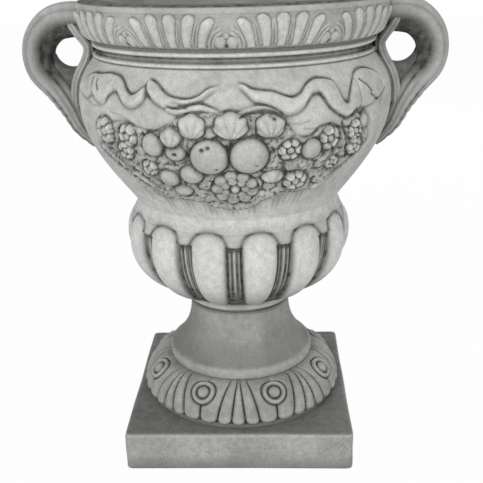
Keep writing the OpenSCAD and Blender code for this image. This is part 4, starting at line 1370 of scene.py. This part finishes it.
    def build(self, material: Material) -> list[Object]:
        """Builds limb, strap and web."""
        node = f"handle_{self.side.name.lower()}"
        limb = self.sweep(f"{node}_limb", self.line(), reeds=8, reed_depth=0.7, power=2.86, bevel_and_shade=1.0)
        pieces = (limb, self.strap(f"{node}_strap"), self.web(f"{node}_web"))
        return [dress(item, material, "handle_concrete", node) for item in pieces]


# The studio


def dress_kept_nodes(nodes: dict[str, Object]) -> None:
    """Gives every CAD node that keeps its shape a real finish.

    Args:
        nodes: CAD nodes by name.
    """
    mortar, steel, pipe = MORTAR.material(), ROLLED_STEEL.material(), DRAIN_PIPE.material()
    finishes = {"bed": mortar, "pads": mortar, "sleeve": pipe}
    finishes |= dict.fromkeys(("mesh", "dowels", "hoop", "rod"), steel)
    for name, node in nodes.items():
        finish = finishes.get(name.split("_")[-1])
        if finish is not None:
            node.data.materials.clear()
            node.data.materials.append(finish)


@dataclass(frozen=True)
class PhotoCamera:
    """Camera of the photograph, as fitted to slab and round ledges: angles in degrees, place in metres."""

    lens_mm: float = 59.12
    sensor_mm: float = 36.0
    pitch: float = 20.106
    roll: float = -1.286
    turn: float = 2.174
    place: tuple[float, float, float] = (0.0359, -0.8586, 0.5368)

    def build(self) -> None:
        """Adds the camera: it looks down by its pitch, leans by its roll and is turned round the upright."""
        scene = bpy.context.scene
        camera = bpy.data.cameras.new("camera")
        camera.lens, camera.sensor_width = self.lens_mm, self.sensor_mm
        item = bpy.data.objects.new("camera", camera)
        scene.collection.objects.link(item)
        pitch, roll, turn = np.radians([self.pitch, self.roll, self.turn])
        right = Vector((1.0, 0.0, 0.0))
        up = Vector((0.0, np.sin(pitch), np.cos(pitch)))
        ahead = Vector((0.0, np.cos(pitch), -np.sin(pitch)))
        level, upright = np.cos(roll) * right + np.sin(roll) * up, np.cos(roll) * up - np.sin(roll) * right
        axes = Matrix((level, upright, -ahead)).transposed().to_4x4()
        item.matrix_world = Matrix.Translation(self.place) @ Matrix.Rotation(turn, 4, "Z") @ axes
        scene.camera = item


def add_world() -> None:
    """World that lights softly and shows as white to the camera, in gloss and through glass."""
    world = bpy.data.worlds.new("studio")
    bpy.context.scene.world = world
    world.use_nodes = True
    nodes = Nodes(world.node_tree)
    path = nodes.add("LightPath")
    kinds = ("Camera", "Glossy", "Transmission")
    camera, glossy, through = (path.outputs[f"Is {kind} Ray"] for kind in kinds)
    shown = nodes.math(nodes.math(camera, glossy, "MAXIMUM"), through, "MAXIMUM")
    levels = (AMBIENT, 1.0)
    soft, white = (nodes.add("Background", {"Color": "#FFFFFF", "Strength": level}) for level in levels)
    nodes.add("OutputWorld", {"Surface": nodes.blend(shown, soft, white)})


def add_floor(reach: float = 6.0) -> None:
    """Pale matt floor that shows as almost white to the camera."""
    material, nodes = new_material("pale studio floor")
    path = nodes.add("LightPath")
    matt = nodes.add("BsdfDiffuse", {"Color": "#D8D8D8"})
    glow = nodes.add("Emission", {"Color": "#FFFFFF", "Strength": 1.0})
    share = nodes.math(path.outputs["Is Camera Ray"], FLOOR_WHITE)
    nodes.add("OutputMaterial", {"Surface": nodes.blend(share, matt, glow)})
    mesh = bpy.data.meshes.new("floor")
    corners = [(-reach, -reach, 0), (reach, -reach, 0), (reach, reach, 0), (-reach, reach, 0)]
    mesh.from_pydata(corners, [], [(0, 1, 2, 3)])
    mesh.materials.append(material)
    floor = bpy.data.objects.new("floor", mesh)
    bpy.context.scene.collection.objects.link(floor)


def add_lamps() -> None:
    """Soft lamps, level enough that a colour renders as it is written."""
    lamps = (
        # name, place, size, power
        ("key", (-0.8, -1.8, 1.1), 1.2, 19.5),
        ("fill", (1.5, -1.4, 0.6), 1.4, 8.0),
        ("top", (0.1, 0.3, 1.9), 1.2, 5.0),
        ("back", (0.7, 1.8, 0.9), 1.4, 11.0),
    )
    for name, place, size, power in lamps:
        light = bpy.data.lights.new(name, "AREA")
        light.shape, light.size, light.energy = "DISK", size, power
        lamp = bpy.data.objects.new(name, light)
        bpy.context.scene.collection.objects.link(lamp)
        lamp.location = place
        lamp.rotation_euler = (Vector((0.0, 0.0, 0.3)) - Vector(place)).to_track_quat("-Z", "Y").to_euler()


def main() -> None:
    """Builds the pieces in order, dresses what the CAD keeps, and sets up camera and studio."""
    logging.basicConfig(level=logging.INFO, format="%(name)s: %(message)s")
    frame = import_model()
    concretes = (SLAB_CONCRETE, FOOT_CONCRETE, BOWL_CONCRETE, RIM_CONCRETE, HANDLE_CONCRETE)
    slab, foot, bowl, rim, handle = (concrete.material() for concrete in concretes)
    Slab().build(slab)
    LeafRing().build(foot)
    FootFlare().build(foot)
    Cup().build(bowl)
    for half in Half:
        BellyHalf(half).build(bowl)
    Mouldings().build(bowl)
    Hollow().build(bowl)
    Rim().build(rim)
    for side in Side:
        Handle(side).build(handle)
    dress_kept_nodes(frame["nodes"])
    PhotoCamera().build()
    add_world()
    add_floor()
    add_lamps()
    bpy.context.scene.view_settings.view_transform = "Standard"


if __name__ == "__main__":
    main()
